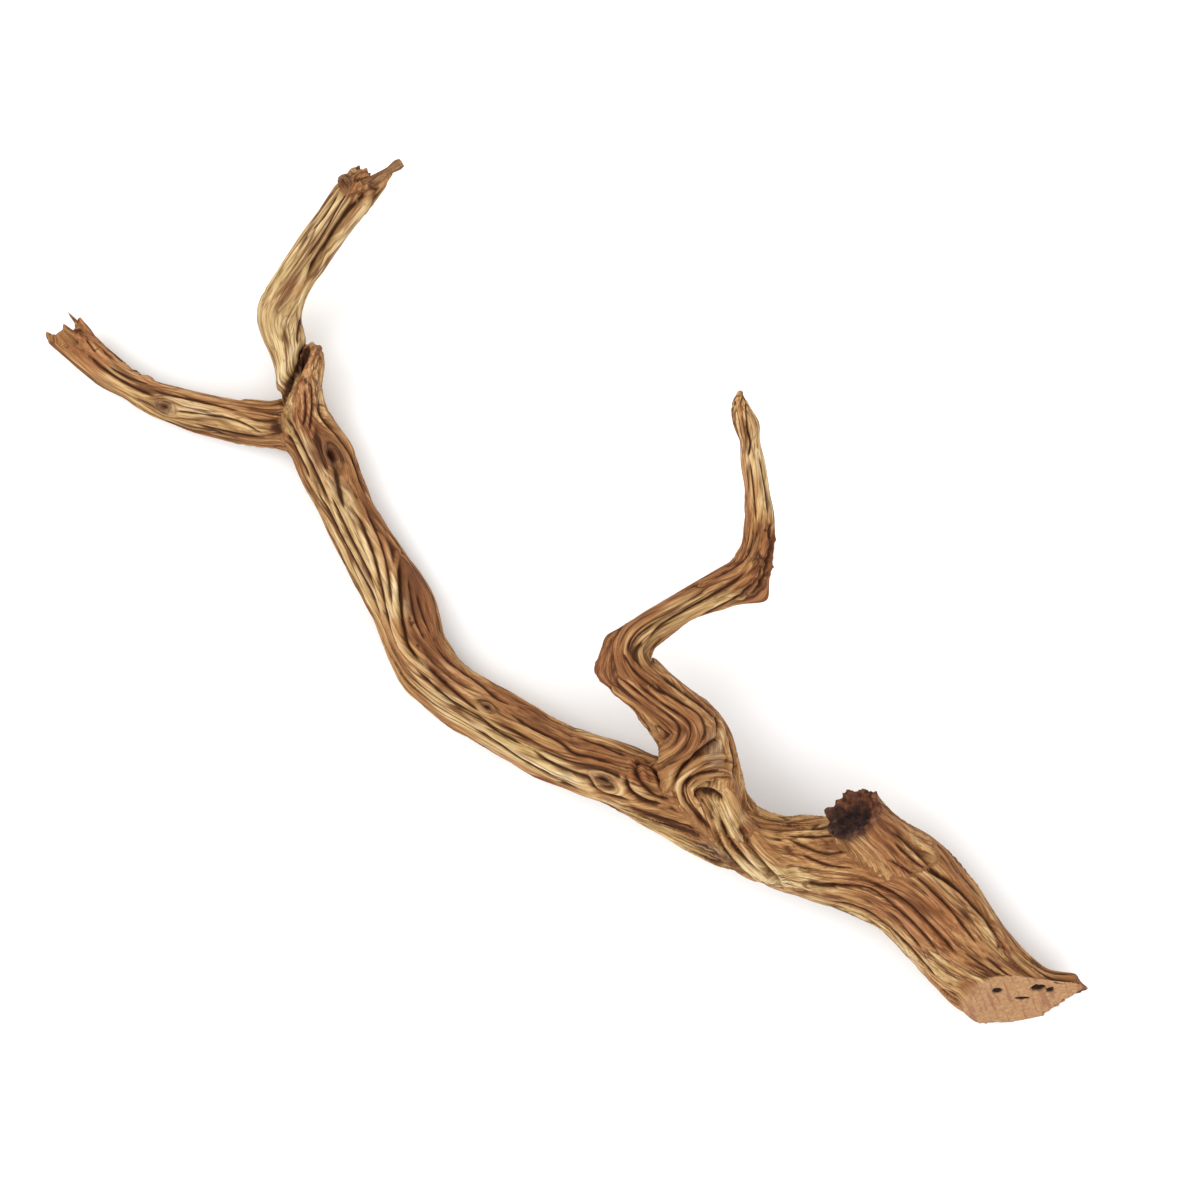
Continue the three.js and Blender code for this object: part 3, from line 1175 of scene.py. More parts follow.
STEM = Limb(
    "stem",
    (
        (272, -256, 25.5, 26.5, 25),
        (257, -239, 25.5, 27, 26),
        (241, -219, 26, 28, 26.5),
        (223, -196, 28, 30, 28),
        (204, -178, 30, 30.5, 28.5),
        (180, -168, 32, 28.5, 28),
        (152, -161, 34, 26, 26),
        (123, -155, 36, 22, 23),
        (93, -142, 38, 21.5, 23),
        (62, -126, 38, 20.5, 22),
        (30, -111, 35, 19, 20.5),
        (-6, -98, 29, 17.5, 19),
        (-42, -78, 23.5, 18.5, 18.5),
        (-74, -57, 18.5, 18, 19),
        (-89, -37, 18, 17.5, 18.5),
        (-99, -10, 17.5, 19, 17.5),
        (-114.5, 16, 17, 17.8, 17),
        (-133, 49, 17, 16.5, 16.5),
        (-147, 80.5, 17.5, 18.4, 18),
        (-158, 106, 20, 15, 18),
        (-157, 125, 25, 10.5, 15),
        (-152, 140, 31, 7, 9.5),
        (-150, 147, 33, 4, 5),
    ),
    columns=28, spacing=8.5, start=End.SAWN, finish=End.ROUNDED, twist=0.004,
)
UPPER = Limb(
    "upper",
    (
        (-154, 88, 17, 6, 8),
        (-158, 101, 20, 9, 11),
        (-162.5, 121, 24, 9.8, 12.5),
        (-167.3, 146, 26, 12.2, 13),
        (-172, 164, 31, 13.9, 13),
        (-165, 180, 39, 12, 12.5),
        (-149.5, 202, 51, 11.6, 12),
        (-133, 222, 65, 11.8, 12),
        (-122, 235, 73, 12.2, 11),
        (-117, 241, 76, 11, 9.5),
    ),
    columns=16, spacing=10.0, start=End.BURIED, finish=End.SNAPPED, twist=-0.006,
    teeth=(
        Tooth(0.45, 0.2, 7.0, 0.35),
        Tooth(-0.1, 0.2, 10.0, 0.25),
        Tooth(-0.55, 0.0, 8.0, 0.25),
        Tooth(-0.95, 0.1, 15.0, 0.35),
        Tooth(0.2, -0.5, 4.0, 0.5),
    ),
)
LEFT = Limb(
    "left",
    (
        (-149, 96, 17, 7, 8),
        (-160, 98.5, 17.5, 11, 12),
        (-179, 99, 17, 14, 14),
        (-206, 103, 16, 13, 13.5),
        (-234.5, 110.5, 14, 12, 12.5),
        (-257, 120, 13, 9.8, 11.5),
        (-277, 133, 14, 10.8, 10.5),
        (-290, 144.5, 16, 11.8, 9),
        (-297, 151, 18, 11, 7.5),
    ),
    columns=16, spacing=10.0, start=End.BURIED, finish=End.SNAPPED, twist=0.004,
    teeth=(
        Tooth(0.75, 0.2, 14.0, 0.5),
        Tooth(-0.95, 0.35, 15.0, 0.32),
        Tooth(0.1, 0.3, 9.0, 0.4),
        Tooth(-0.3, 0.3, 7.0, 0.3),
    ),
)
SIDE = Limb(
    "side",
    (
        (122, -158, 30, 8, 10),
        (111, -151, 37, 13, 15),
        (99, -142, 43, 18.5, 18),
        (86, -126, 46, 22.5, 19.5),
        (79, -105, 50, 24.3, 20),
        (74, -86, 55, 21.5, 19.5),
        (62, -72, 60, 17.6, 18),
        (48, -58, 66, 16, 16.5),
        (36, -45, 71, 16, 15),
        (41, -31, 75, 12.5, 13),
        (53, -21, 79, 11, 12),
        (70, -10, 82, 10.4, 11),
        (89, -1, 85, 12, 11.5),
        (105, 7, 88, 12.5, 12.5),
        (112, 23, 92, 9.8, 11),
        (113.1, 41, 97.5, 8.5, 9.5),
        (110.8, 60, 103.5, 6.9, 8),
        (107.3, 78, 110, 6.5, 7.5),
        (106.4, 86.5, 113, 5.6, 6.5),
        (105.1, 94, 116, 7.4, 6),
        (103, 100, 118, 6.4, 5.5),
        (101, 106.5, 120, 4.9, 4.5),
        (101.4, 112, 122, 2.4, 3),
        (101.3, 115, 124, 1.2, 1.5),
    ),
    columns=20, spacing=7.5, start=End.BURIED, finish=End.ROUNDED, twist=-0.005,
)
STUB = Limb(
    "stub",
    (
        (234, -208, 15, 14, 13),
        (223, -193, 22, 18.5, 17),
        (210, -176, 31, 21, 19.5),
        (197, -161, 41.5, 20.5, 20.5),
        (187, -149, 51, 18.5, 19),
        (178, -140.5, 59, 18, 18),
        (169.5, -131.5, 68, 17.5, 17.2),
    ),
    columns=16, spacing=11.0, start=End.BURIED, finish=End.CHARRED, twist=0.002,
)
SPIKE = Limb(
    "spike",
    (
        (-122, 234, 76, 4.4, 4.4),
        (-115, 239, 78, 4.4, 4.2),
        (-108, 243.2, 79, 3.4, 3.0),
        (-103, 246.5, 79.5, 2.7, 2.6),
        (-100, 248.4, 80, 3.4, 3.3),
        (-97.5, 249.8, 80.4, 3.5, 3.4),
        (-95.0, 251.2, 80.7, 2.2, 2.2),
    ),
    columns=10, spacing=2.2, start=End.BURIED, finish=End.ROUNDED, levels=2, strand=0.35,
)
NUB = Limb(
    "nub",
    (
        (-123, 229, 73, 4, 4), (-127, 235, 78, 5.2, 5.2),
        (-129.8, 239.5, 81.5, 5.0, 5.0), (-131.2, 242.5, 83.5, 3.8, 3.8),
    ),
    columns=10, spacing=2.4, start=End.BURIED, finish=End.ROUNDED, levels=2, strand=0.4,
)
THORN = Limb(
    "thorn",
    (
        (-283, 143, 16, 5, 5), (-287.5, 152, 19, 4.2, 4.4),
        (-291, 158.5, 21.5, 2.6, 2.8), (-293.5, 164, 24, 0.9, 1.1),
    ),
    columns=10, spacing=2.8, start=End.BURIED, finish=End.ROUNDED, levels=2, strand=0.5,
)
LIMBS = (STEM, UPPER, LEFT, SIDE, STUB, SPIKE, NUB, THORN)
# How softly each pair of limbs melts together, mm.
MEETINGS = (("stem", "upper", 5.0), ("stem", "left", 10.0), ("stem", "side", 8.0), ("stem", "stub", 16.0))

GROOVES = (
    # left branch
    Groove("left", 1.3, 1.6, ((-290, 147), (-280, 138), (-266, 129), (-248, 121))),
    Groove("left", 0.9, 1.0, ((-278, 140), (-265, 133), (-252, 129))),
    Groove("left", 1.0, 1.2, ((-253, 126), (-237, 122), (-222, 119), (-196, 112))),
    Groove("left", 0.8, 0.9, ((-291, 156), (-285, 148))),
    Groove("left", 1.0, 1.1, ((-239, 113), (-222, 111), (-200, 107), (-183, 98))),
    # upper branch
    Groove(
        "upper", 2.6, 4.2,
        ((-120, 243), (-122, 235), (-131, 226), (-139, 216), (-144, 208), (-149, 202), (-157, 188)),
    ),
    Groove("upper", 1.1, 1.3, ((-136, 238), (-141, 231), (-146, 224), (-153, 217))),
    Groove("upper", 1.2, 1.5, ((-155, 184), (-159, 173), (-162, 161), (-163, 150))),
    Groove("upper", 1.0, 1.1, ((-126, 246), (-134, 233), (-146, 214), (-157, 200))),
    # fork and knuckle
    Groove(
        "stem upper", 3.0, 5.0,
        ((-157, 154), (-160.5, 142), (-163.7, 135), (-167, 130), (-170.2, 124), (-173, 119), (-174.5, 112)),
        steers=False, steep=True,
    ),
    Groove(
        "stem upper", 4.4, 1.0,
        ((-156, 154), (-160.5, 142), (-163.7, 135), (-167, 130), (-170.2, 124), (-173, 119), (-174.5, 111)),
        steers=False, steep=True,
    ),
    Groove("stem", 1.0, 1.3, ((-158.5, 126), (-157.5, 113), (-160, 102)), steers=False),
    Groove("stem", 1.0, 1.3, ((-154.5, 130), (-154, 115), (-156, 99)), steers=False),
    Groove("stem", 1.3, 1.8, ((-150, 124), (-149, 110), (-140, 99), (-131, 86), (-126, 72), (-122, 60))),
    Groove(
        "stem", 1.6, 2.4,
        ((-172, 112), (-165.7, 101.4), (-159.2, 88.2), (-154, 77.8), (-147.4, 63.4), (-140, 47)),
    ),
    Groove("stem", 1.4, 2.0, ((-170, 100), (-162, 84), (-156, 71))),
    Groove("stem", 2.7, 3.4, ((-141.5, 82), (-140, 76), (-138, 65), (-135, 53))),
    # stem between the fork and the bend
    Groove(
        "stem", 1.3, 1.8,
        ((-154.3, 68.5), (-144, 50.3), (-136, 34.5), (-127, 18.3), (-119, 2.4), (-112.5, -14)),
    ),
    Groove("stem", 1.2, 1.5, ((-144, 64), (-131.5, 36.8), (-122, 18.3), (-116, 4))),
    Groove(
        "stem", 1.3, 1.8,
        ((-132, 55), (-124.7, 45.8), (-117.8, 27.5), (-113.5, 10), (-110, -9.2), (-106.5, -22)),
    ),
    Groove("stem", 1.3, 1.7, ((-124, 58), (-117, 43.4), (-111, 27.5), (-108, 9.4), (-106, -9))),
    Groove(
        "stem", 2.0, 3.8,
        ((-101.4, 27.5), (-101.4, 9.4), (-100.8, -9), (-99.6, -18.1), (-96.5, -29.5), (-88, -39)),
    ),
    Groove("stem", 1.1, 1.4, ((-97, 14), (-94.5, -2), (-92, -14), (-86, -26))),
    Groove("stem", 1.0, 1.2, ((-92, 4), (-88, -10), (-83, -22))),
    Groove(
        "stem", 1.8, 2.6,
        ((-95.5, -39), (-84, -50.3), (-70.3, -61.8), (-54, -71), (-42.8, -80), (-24.4, -89)),
    ),
    Groove("stem", 1.4, 2.0, ((-86, -39), (-75, -50), (-61, -62), (-52, -68.7))),
    Groove("stem", 1.4, 1.9, ((-81.7, -27.4), (-70, -39), (-54, -50.3), (-42.8, -59.5), (-33.6, -64))),
    # stem between the bend and the side branch
    Groove(
        "stem", 1.6, 2.2,
        ((-38, -66.4), (-24.4, -75.5), (-6, -84.7), (3, -91.6), (14.5, -94), (30, -99)),
    ),
    Groove(
        "stem", 1.6, 2.4,
        ((-24.4, -88), (-13, -97.3), (3, -104.2), (11, -106.5), (16, -114), (26, -118), (42, -121)),
    ),
    Groove(
        "stem", 1.3, 1.8,
        ((-70, -80), (-56.5, -87), (-38, -98.4), (-20, -110), (-1.5, -117), (21.4, -123.6), (39.7, -133)),
    ),
    Groove("stem", 1.1, 1.5, ((5.3, -82.4), (19, -87), (35, -94))),
    Groove("stem", 1.1, 1.4, ((-60, -76), (-44, -86), (-28, -97), (-8, -107))),
    Groove("stem side", 1.8, 2.6, ((38, -98), (42, -108), (50, -116), (60, -119)), steers=False),
    Groove(
        "stem side", 1.7, 3.6,
        ((33, -104), (35, -113), (44, -120), (56, -122)),
        steers=False, steep=True,
    ),
    Groove("stem side", 1.6, 3.4, ((37, -97), (48, -99), (54, -108), (55, -118)), steers=False, steep=True),
    # foot of the side branch
    Groove("side", 1.3, 1.8, ((30, -46), (46, -60), (60, -70), (65, -77), (62, -86), (55, -91))),
    Groove("side", 1.2, 1.6, ((38, -48), (52, -60), (68, -70), (72, -78), (68, -88), (58, -96))),
    Groove(
        "side", 1.3, 1.8,
        ((44, -44), (60, -57), (77, -68), (80, -78), (72, -90), (60, -98), (52, -104)),
        steers=False,
    ),
    Groove("side", 1.2, 1.6, ((52, -44), (66, -54), (82, -66), (90, -76))),
    Groove(
        "side stem", 1.3, 1.7,
        ((86, -88), (76, -93), (67, -100), (62, -109), (64, -120), (74, -132)),
        steers=False,
    ),
    Groove(
        "side stem", 1.2, 1.5,
        ((90, -94), (80, -98), (71, -105), (69, -114), (74, -124), (86, -138)),
        steers=False,
    ),
    Groove("side", 1.4, 2.2, ((87, -68), (88, -79), (88, -86)), steers=False),
    Groove("side", 1.2, 1.8, ((95, -84), (98, -96), (98, -108))),
    Groove(
        "side", 3.2, -2.6,
        ((88, -72), (80, -80), (72, -88), (60, -98), (56, -110), (60, -122)),
        dark=0.0, steers=False,
    ),
    Groove("side", 1.8, 3.6, ((90, -80), (83, -86), (74, -93), (65, -101), (61, -110)), steers=False),
    Groove(
        "side stem", 2.8, -2.4,
        ((91, -100), (97, -116), (99, -128), (95, -137)),
        dark=0.0, steers=False,
    ),
    Groove(
        "side stem", 1.7, 3.0,
        ((92, -101), (84, -102), (74, -105), (67, -111), (68, -119), (76, -129), (85, -139)),
        steers=False,
    ),
    Groove("side stem", 2.2, 4.4, ((91, -119), (85, -115), (78, -114), (74, -118)), steers=False),
    Groove("side stem", 1.6, 3.2, ((88, -127), (95, -143), (104, -155), (116, -166)), steers=False),
    Groove("side stem", 1.8, 3.6, ((101, -132), (107, -147), (117, -161), (127, -172)), steers=False),
    Groove("side stem", 1.3, 2.6, ((85, -134), (91, -148), (101, -161), (110, -168)), steers=False),
    Groove(
        "side stem", 3.0, -1.8,
        ((104, -128), (112, -142), (124, -156), (136, -168)),
        dark=0.0, steers=False,
    ),
    # side branch beyond its foot
    Groove("side", 1.2, 1.8, ((30, -30), (38, -42), (50, -52), (60, -58))),
    Groove("side", 1.3, 1.9, ((46, -26), (52, -17), (66, -8), (80, 0), (96, 10), (105, 18))),
    Groove("side", 1.1, 1.4, ((58, -22), (72, -14), (86, -6), (100, 2), (108, 12))),
    Groove("side", 0.9, 1.2, ((110, 84), (114, 64), (116, 47))),
    Groove("side", 0.7, 0.8, ((105, 80), (107, 62), (109, 42))),
    # butt
    Groove("stem", 1.5, 2.0, ((129, -142), (151, -151), (166, -149))),
    Groove("stem", 1.0, 1.2, ((129, -141), (146, -141), (160, -140))),
    Groove("stem", 1.0, 1.2, ((136, -151), (153, -158), (170, -160))),
    Groove("stem", 1.1, 1.4, ((176, -157), (189, -161), (201, -167), (215, -178))),
    Groove("stem", 1.5, 2.2, ((172, -166), (189, -173), (203, -183), (219, -199), (232, -214))),
    Groove(
        "stem", 1.1, 1.4,
        ((144, -168), (158, -170), (178, -172), (194, -184), (208, -197), (222, -214)),
    ),
    Groove("stem", 2.0, 2.2, ((141, -169), (150, -171), (160, -170)), steers=False),
    Groove(
        "stem stub", 1.9, 3.0,
        (
            (186, -136), (196, -141), (206, -150), (217, -161),
            (229, -170), (238, -179), (249, -191), (260, -209),
        ),
    ),
    Groove("stem stub", 1.3, 1.7, ((190, -142), (203, -154), (213, -161), (224, -168), (231, -174))),
    Groove(
        "stem stub", 1.2, 1.6,
        ((184, -152), (203, -163), (215, -173), (226, -184), (237, -198), (246, -210)),
        steers=False,
    ),
    Groove("stem", 1.1, 1.3, ((150, -180), (172, -184), (190, -196), (206, -212), (222, -230))),
)
KNOTS = (
    Knot("stem", -142, 86, 5.4, 2.1, 5.5, 1.6),
    Knot("stem", 22, -108, 4.4, 2.2, 1.2, 0.9),
    Knot("stem", -47, -66, 2.8, 1.8, 1.4, 0.7),
    Knot("left", -243, 115, 3.2, 1.8, 0.8, 0.8),
    Knot("side", 98, -134, 2.2, 1.2, 0.9, 1.5),
)
SWELLS = (
    Swell("stem", 289, -232, 21, 0.0, 24, (9, -2, -2)),
    Swell("stem", 298, -231, 11, 0.0, 23, (17, -2, -3)),
    Swell("stem", 301, -226, 8, 0.0, 25, (6, 4, 0)),
    Swell("stem", 281, -251, 5, 0.0, 6, (0, 4.5, 0)),
    Swell("stem", 307, -231, 3.4, 0.0, 25, (-4.5, 1, 0)),
    Swell("stem", 250, -250, 17, 0.0, 26, (6, 4.5, 0)),
    Swell("stem", -94, -50, 11, 0.0, 20, (-2, -1, 0)),
    Swell("side", 112, 0, 10, 0.0, 84, (8, -5, 0)),
    Swell("side", 22, -41, 8, 0.0, 70, (-6, -1, 0)),
    Swell("side", 26, -26, 8, 0.0, 70, (-4, 3, 0)),
    Swell("side", 94, -116, 9, 3.5),
    Swell("side", 81, -117, 7, -6.5),
    Swell("side", 80, -92, 6, -3.0),
    Swell("side", 60, -108, 6, 1.8),
    Swell("stem", 42, -107, 6, 2.0),
    Swell("stem", -153, 140, 5, 1.5),
)
PATCHES = (
    Patch("stem", Tone.RED, -86, -2, 34, 10, 0.9),
    Patch("stem", Tone.RED, -76, -40, 26, 9, 0.8),
    Patch("stem", Tone.RED, -30, -66, 42, 10, 0.7),
    Patch("stem", Tone.RED, 22, -92, 30, 9, 0.65),
    Patch("stem", Tone.RED, -160, 120, 18, 9, 0.75),
    Patch("stem", Tone.RED, 205, -186, 50, 18, 0.85),
    Patch("stem", Tone.RED, 165, -150, 34, 12, 0.45),
    Patch("stem", Tone.CALM, 215, -186, 55, 24, 0.75),
    Patch("stem", Tone.CALM, 150, -158, 30, 18, 0.6),
    Patch("stem", Tone.CALM, 236, -232, 40, 14, 0.7),
    Patch("stem", Tone.RED, -157, 108, 18, 7, 0.75),
    Patch("stem", Tone.GREY, -137, 62, 14, 6, 0.22),
    Patch("stub", Tone.CALM, 195, -158, 60, 60, 0.7),
    Patch("stub", Tone.RED, 190, -150, 40, 12, 0.6),
    Patch("upper", Tone.CALM, -160, 175, 90, 60, 0.65),
    Patch("stem", Tone.CALM, -88, 0, 26, 9, 0.6),
    Patch("stem", Tone.PALE, -166, 98, 26, 6, 0.8),
    Patch("stem", Tone.PALE, -128, 30, 62, 13, 0.65),
    # The pale bands from here to the butt run along the stem's lower edge: partly the wood's own paler tone,
    # partly painted light on the sides that face the lower left.
    Patch("stem", Tone.PALE, -30, -92, 60, 9, 0.9),
    Patch("stem", Tone.PALE, 60, -142, 50, 8, 0.8),
    Patch("stem", Tone.PALE, 116, -165, 30, 11, 0.95),
    Patch("stem", Tone.PALE, 175, -196, 60, 9, 0.9),
    Patch("stem", Tone.PALE, 232, -234, 40, 7, 0.7),
    Patch("stem", Tone.GREY, 88, -152, 14, 6, 0.55),
    Patch("side", Tone.RED, 38, -50, 24, 11, 0.7),
    Patch("side", Tone.RED, 66, -78, 28, 15, 0.7),
    Patch("side", Tone.RED, 118, 20, 22, 6, 0.85),
    Patch("side", Tone.RED, 98, -134, 4, 4, 1.0),
    Patch("side", Tone.PALE, 70, -8, 40, 9, 0.75),
    Patch("side", Tone.PALE, 94, -128, 26, 8, 0.8),
    Patch("side", Tone.PALE, 110, 80, 40, 6, 0.35),
    Patch("side", Tone.GREY, 84, -84, 12, 6, 0.5),
    Patch("upper", Tone.PALE, -165, 165, 52, 42, 1.0),
    Patch("upper", Tone.PALE, -142, 218, 44, 30, 0.95),
    Patch("upper", Tone.RED, -119, 243, 9, 12, 0.7),
    Patch("spike", Tone.KNOT, -104, 250, 16, 30, 1.0),
    Patch("nub", Tone.KNOT, -133, 246, 6, 30, 0.9),
    Patch("thorn", Tone.RED, -290, 160, 14, 9, 0.9),
    Patch("upper", Tone.RED, -134, 222, 28, 4, 0.5),
    Patch("left", Tone.RED, -288, 150, 16, 9, 0.9),
    Patch("left", Tone.RED, -262, 134, 22, 6, 0.5),
    Patch("left", Tone.PALE, -250, 112, 40, 6, 0.5),
    Patch("left", Tone.PALE, -215, 106, 50, 9, 0.45),
    Patch("left", Tone.GREY, -243, 115, 7, 4, 0.9),
)

FLOWS = (
    Flow("side", 12.0, ((84, 3), (66, -7), (50, -15), (40, -23), (37, -33), (43, -44), (56, -54))),
    Flow("side stem", 12.0, ((80, -112), (86, -122), (95, -140), (107, -155), (122, -168))),
    Flow(
        "side", 10.0,
        ((28, -42), (34, -48), (50, -60), (66, -72), (71, -80), (65, -90), (54, -98), (47, -106)),
    ),
    Flow("side", 7.5, ((101, -103), (92, -99), (82, -100), (72, -105), (66, -112), (69, -122), (77, -132))),
)
ROUGHS = (
    Rough("side", 115, 24, 22, 7, 1.5),
    Rough("side", 18, -38, 12, 5, 0.9),
    Rough("stem", 44, -103, 9, 9, 1.5),
    Rough("side", 50, -108, 8, 7, 1.4),
    Rough("left", -286, 150, 15, 6, 0.9),
    Rough("left", -262, 137, 14, 3.5, 0.8),
    Rough("stem", -90, -22, 16, 6, 0.8),
    Rough("stem", -72, -48, 14, 6, 0.8),
    Rough("stem", -158, 130, 8, 5, 0.8),
    Rough("stem", 266, -214, 8, 6, 1.0),
    Rough("stem", 306, -232, 7, 9, 0.7),
)


@dataclass(frozen=True)
class Features:
    """Everything that is carved into the limbs or marked on them."""

    grooves: tuple[Groove, ...] = GROOVES
    knots: tuple[Knot, ...] = KNOTS
    swells: tuple[Swell, ...] = SWELLS
    patches: tuple[Patch, ...] = PATCHES
    roughs: tuple[Rough, ...] = ROUGHS
    flows: tuple[Flow, ...] = FLOWS


# The finishes -----------------------------------------------------------------------------------


def colour(code: str) -> tuple[float, float, float, float]:
    """Returns the linear colour of an sRGB hex value such as #a0784f."""
    parts = [int(code[i : i + 2], 16) / 255.0 for i in (1, 3, 5)]
    linear = [p / 12.92 if p <= 0.04045 else ((p + 0.055) / 1.055) ** 2.4 for p in parts]
    return (*linear, 1.0)


class Shader:
    """A material's node tree, filled one node at a time."""

    def __init__(self, name: str) -> None:
        """Makes an empty material.

        Args:
            name: what the finish is.
        """
        self.material = bpy.data.materials.new(name)
        self.material.use_nodes = True
        self.tree = self.material.node_tree
        self.tree.nodes.clear()

    def add(
        self, kind: str, links: dict[str | int, Socket] | None = None, **settings: object
    ) -> bpy.types.Node:
        """Adds a node.

        Args:
            kind: the node's type.
            links: input socket name or number to the output that feeds it.
            settings: properties of the node, or values of its inputs. An input goes by its name, with _
                for a space, or by its number, as in2.
        Returns:
            The node.
        """
        node = self.tree.nodes.new(kind)
        for name, value in settings.items():
            socket = name.replace("_", " ")
            if hasattr(node, name):
                setattr(node, name, value)
            elif name.startswith("in"):
                node.inputs[int(name[2:])].default_value = value
            else:
                node.inputs[socket].default_value = value
        for name, output in (links or {}).items():
            self.tree.links.new(output, node.inputs[name])
        return node

    def ramp(self, source: Socket, *stops: tuple[float, str]) -> Socket:
        """Adds a row of colours.

        Args:
            source: the value that picks from the row.
            stops: place and sRGB colour of each stop.
        Returns:
            The colour picked.
        """
        node = self.add("ShaderNodeValToRGB", {"Fac": source})
        marks = node.color_ramp.elements
        while len(marks) < len(stops):
            marks.new(0.5)
        for mark, (place, code) in zip(marks, stops):
            mark.position = place
            mark.color = colour(code)
        return node.outputs["Color"]

    def curve(self, source: Socket, *stops: tuple[float, float]) -> Socket:
        """Adds a row of values.

        Args:
            source: the value that picks from the row.
            stops: place and value of each stop.
        Returns:
            The value picked.
        """
        node = self.add("ShaderNodeValToRGB", {"Fac": source})
        marks = node.color_ramp.elements
        while len(marks) < len(stops):
            marks.new(0.5)
        for mark, (place, value) in zip(marks, stops):
            mark.position = place
            mark.color = (value, value, value, 1.0)
        return node.outputs["Color"]


@dataclass(frozen=True)
class WeatheredWood:
    """Bare vine wood, sand-worn and sun-dried: matt, with fine raised fibres and dark grain lines."""

    name: str = "sand-worn vine wood"
    fibre: float = 0.55  # width of one fibre bundle, mm; drawn as coarse as it needs to be to show
    fibre_stretch: float = 22.0
    streak: float = 2.4  # width of the streaks of tone, mm
    streak_stretch: float = 20.0
    zone: float = 9.0  # width of the slow zones of straw and russet, mm
    zone_stretch: float = 9.0
    crack: float = 1.5  # the fine cracks lie about this far apart, mm
    crack_stretch: float = 30.0
    strand: float = 3.4  # width of a strand between two splits, mm
    strand_stretch: float = 24.0
    split_zone: float = 6.0  # width of the places where strands have split, mm
    speck: float = 2.381  # size of the specks of end grain, mm
    soot: float = 3.846  # size of the crumbs of char, mm
    tooth: Vector = (2.6, 40.0, 40.0)  # across and along the scratches of the saw's teeth, mm
    tooth_way: Vector = (0.0, 0.0, 0.5)  # how the scratches are turned, radians
    relief: float = 0.35  # height of the raised fibres, mm
    ior: float = 1.45
    specular: float = 0.22

    def value(self, s: Shader, value: float) -> Socket:
        """Returns a plain value."""
        node = s.add("ShaderNodeValue")
        node.outputs[0].default_value = value
        return node.outputs[0]

    def mask(self, s: Shader, name: str) -> Socket:
        """Returns a mark of the skin as a value."""
        return s.add("ShaderNodeAttribute", attribute_name=name).outputs["Fac"]

    def noise(self, s: Shader, place: Socket, **settings: float) -> Socket:
        """Returns plain noise at a place."""
        return s.add("ShaderNodeTexNoise", {"Vector": place}, **settings).outputs["Fac"]

    def drawn_out(self, s: Shader, width: float, stretch: float, detail: float) -> Socket:
        """Draws noise out along the fibres.

        Args:
            s: the material.
            width: of a strand, mm.
            stretch: how many times longer than wide a strand is.
            detail: how many finer patterns it holds.
        Returns:
            The noise.
        """
        values = [
            self.noise(s, place, Scale=1.0, Detail=detail, Roughness=0.55)
            for place in self.places(s, width, stretch)
        ]
        return self.flowing(s, *values)

    def places(self, s: Shader, width: float, stretch: float) -> list[Socket]:
        """Reads the skin's own places across and along its fibres.

        Args:
            s: the material.
            width: of a strand, mm.
            stretch: how many times longer than wide a strand is.
        Returns:
            The places by the limb's grain and by a flow's, counted in strands.
        """
        size = 1.0 / (width * MM)
        scale = (size, size, size / stretch)
        places = []
        for name in ("grain", "bed"):
            drawn = s.add("ShaderNodeAttribute", attribute_name=name).outputs["Vector"]
            places.append(s.add("ShaderNodeMapping", {"Vector": drawn}, in3=scale).outputs["Vector"])
        return places

    def flowing(self, s: Shader, grain: Socket, bed: Socket) -> Socket:
        """Returns the first value, giving way to the second where a flow holds the fibres."""
        links = {0: self.mask(s, "flow"), 2: grain, 3: bed}
        return s.add("ShaderNodeMix", links, data_type="FLOAT").outputs[0]

    def splits(self, s: Shader, width: float, stretch: float) -> Socket:
        """Parts the wood into strands.

        Args:
            s: the material.
            width: of a strand, mm.
            stretch: how many times longer than wide a strand is.
        Returns:
            How far each place is from the nearest split, in strands.
        """
        values = []
        for place in self.places(s, width, stretch):
            stray = s.add("ShaderNodeTexNoise", {"Vector": place}, Scale=0.8, Detail=1.0).outputs["Color"]
            links = {0: stray, 2: place}
            bent = s.add("ShaderNodeVectorMath", links, operation="MULTIPLY_ADD", in1=(1.1, 1.1, 0.0))
            links = {"Vector": bent.outputs["Vector"]}
            cells = s.add("ShaderNodeTexVoronoi", links, feature="DISTANCE_TO_EDGE", Scale=1.0)
            values.append(cells.outputs["Distance"])
        return self.flowing(s, *values)

    def blend(self, s: Shader, share: Socket, a: Socket, b: Socket) -> Socket:
        """Returns colour a with a share of colour b in it."""
        return s.add("ShaderNodeMix", {0: share, 6: a, 7: b}, data_type="RGBA").outputs[2]

    def sum(self, s: Shader, a: Socket, b: Socket, share: float) -> Socket:
        """Returns a plus a share of b less its middle value."""
        shifted = s.add("ShaderNodeMath", {0: b}, operation="MULTIPLY_ADD", in1=share, in2=-0.5 * share)
        links = {0: a, 1: shifted.outputs[0]}
        return s.add("ShaderNodeMath", links, operation="ADD", use_clamp=True).outputs[0]

    def bare(self, s: Shader, level: Socket) -> Socket:
        """Colours the bare wood: straw on its crests and brown in its hollows, partly bleaching of the crests
        and partly painted shade in the hollows.

        Args:
            s: the material.
            level: how high and how light the wood is at each place, from 0 to 1.
        Returns:
            The colour, with its russet, pale and grey patches and its knots.
        """
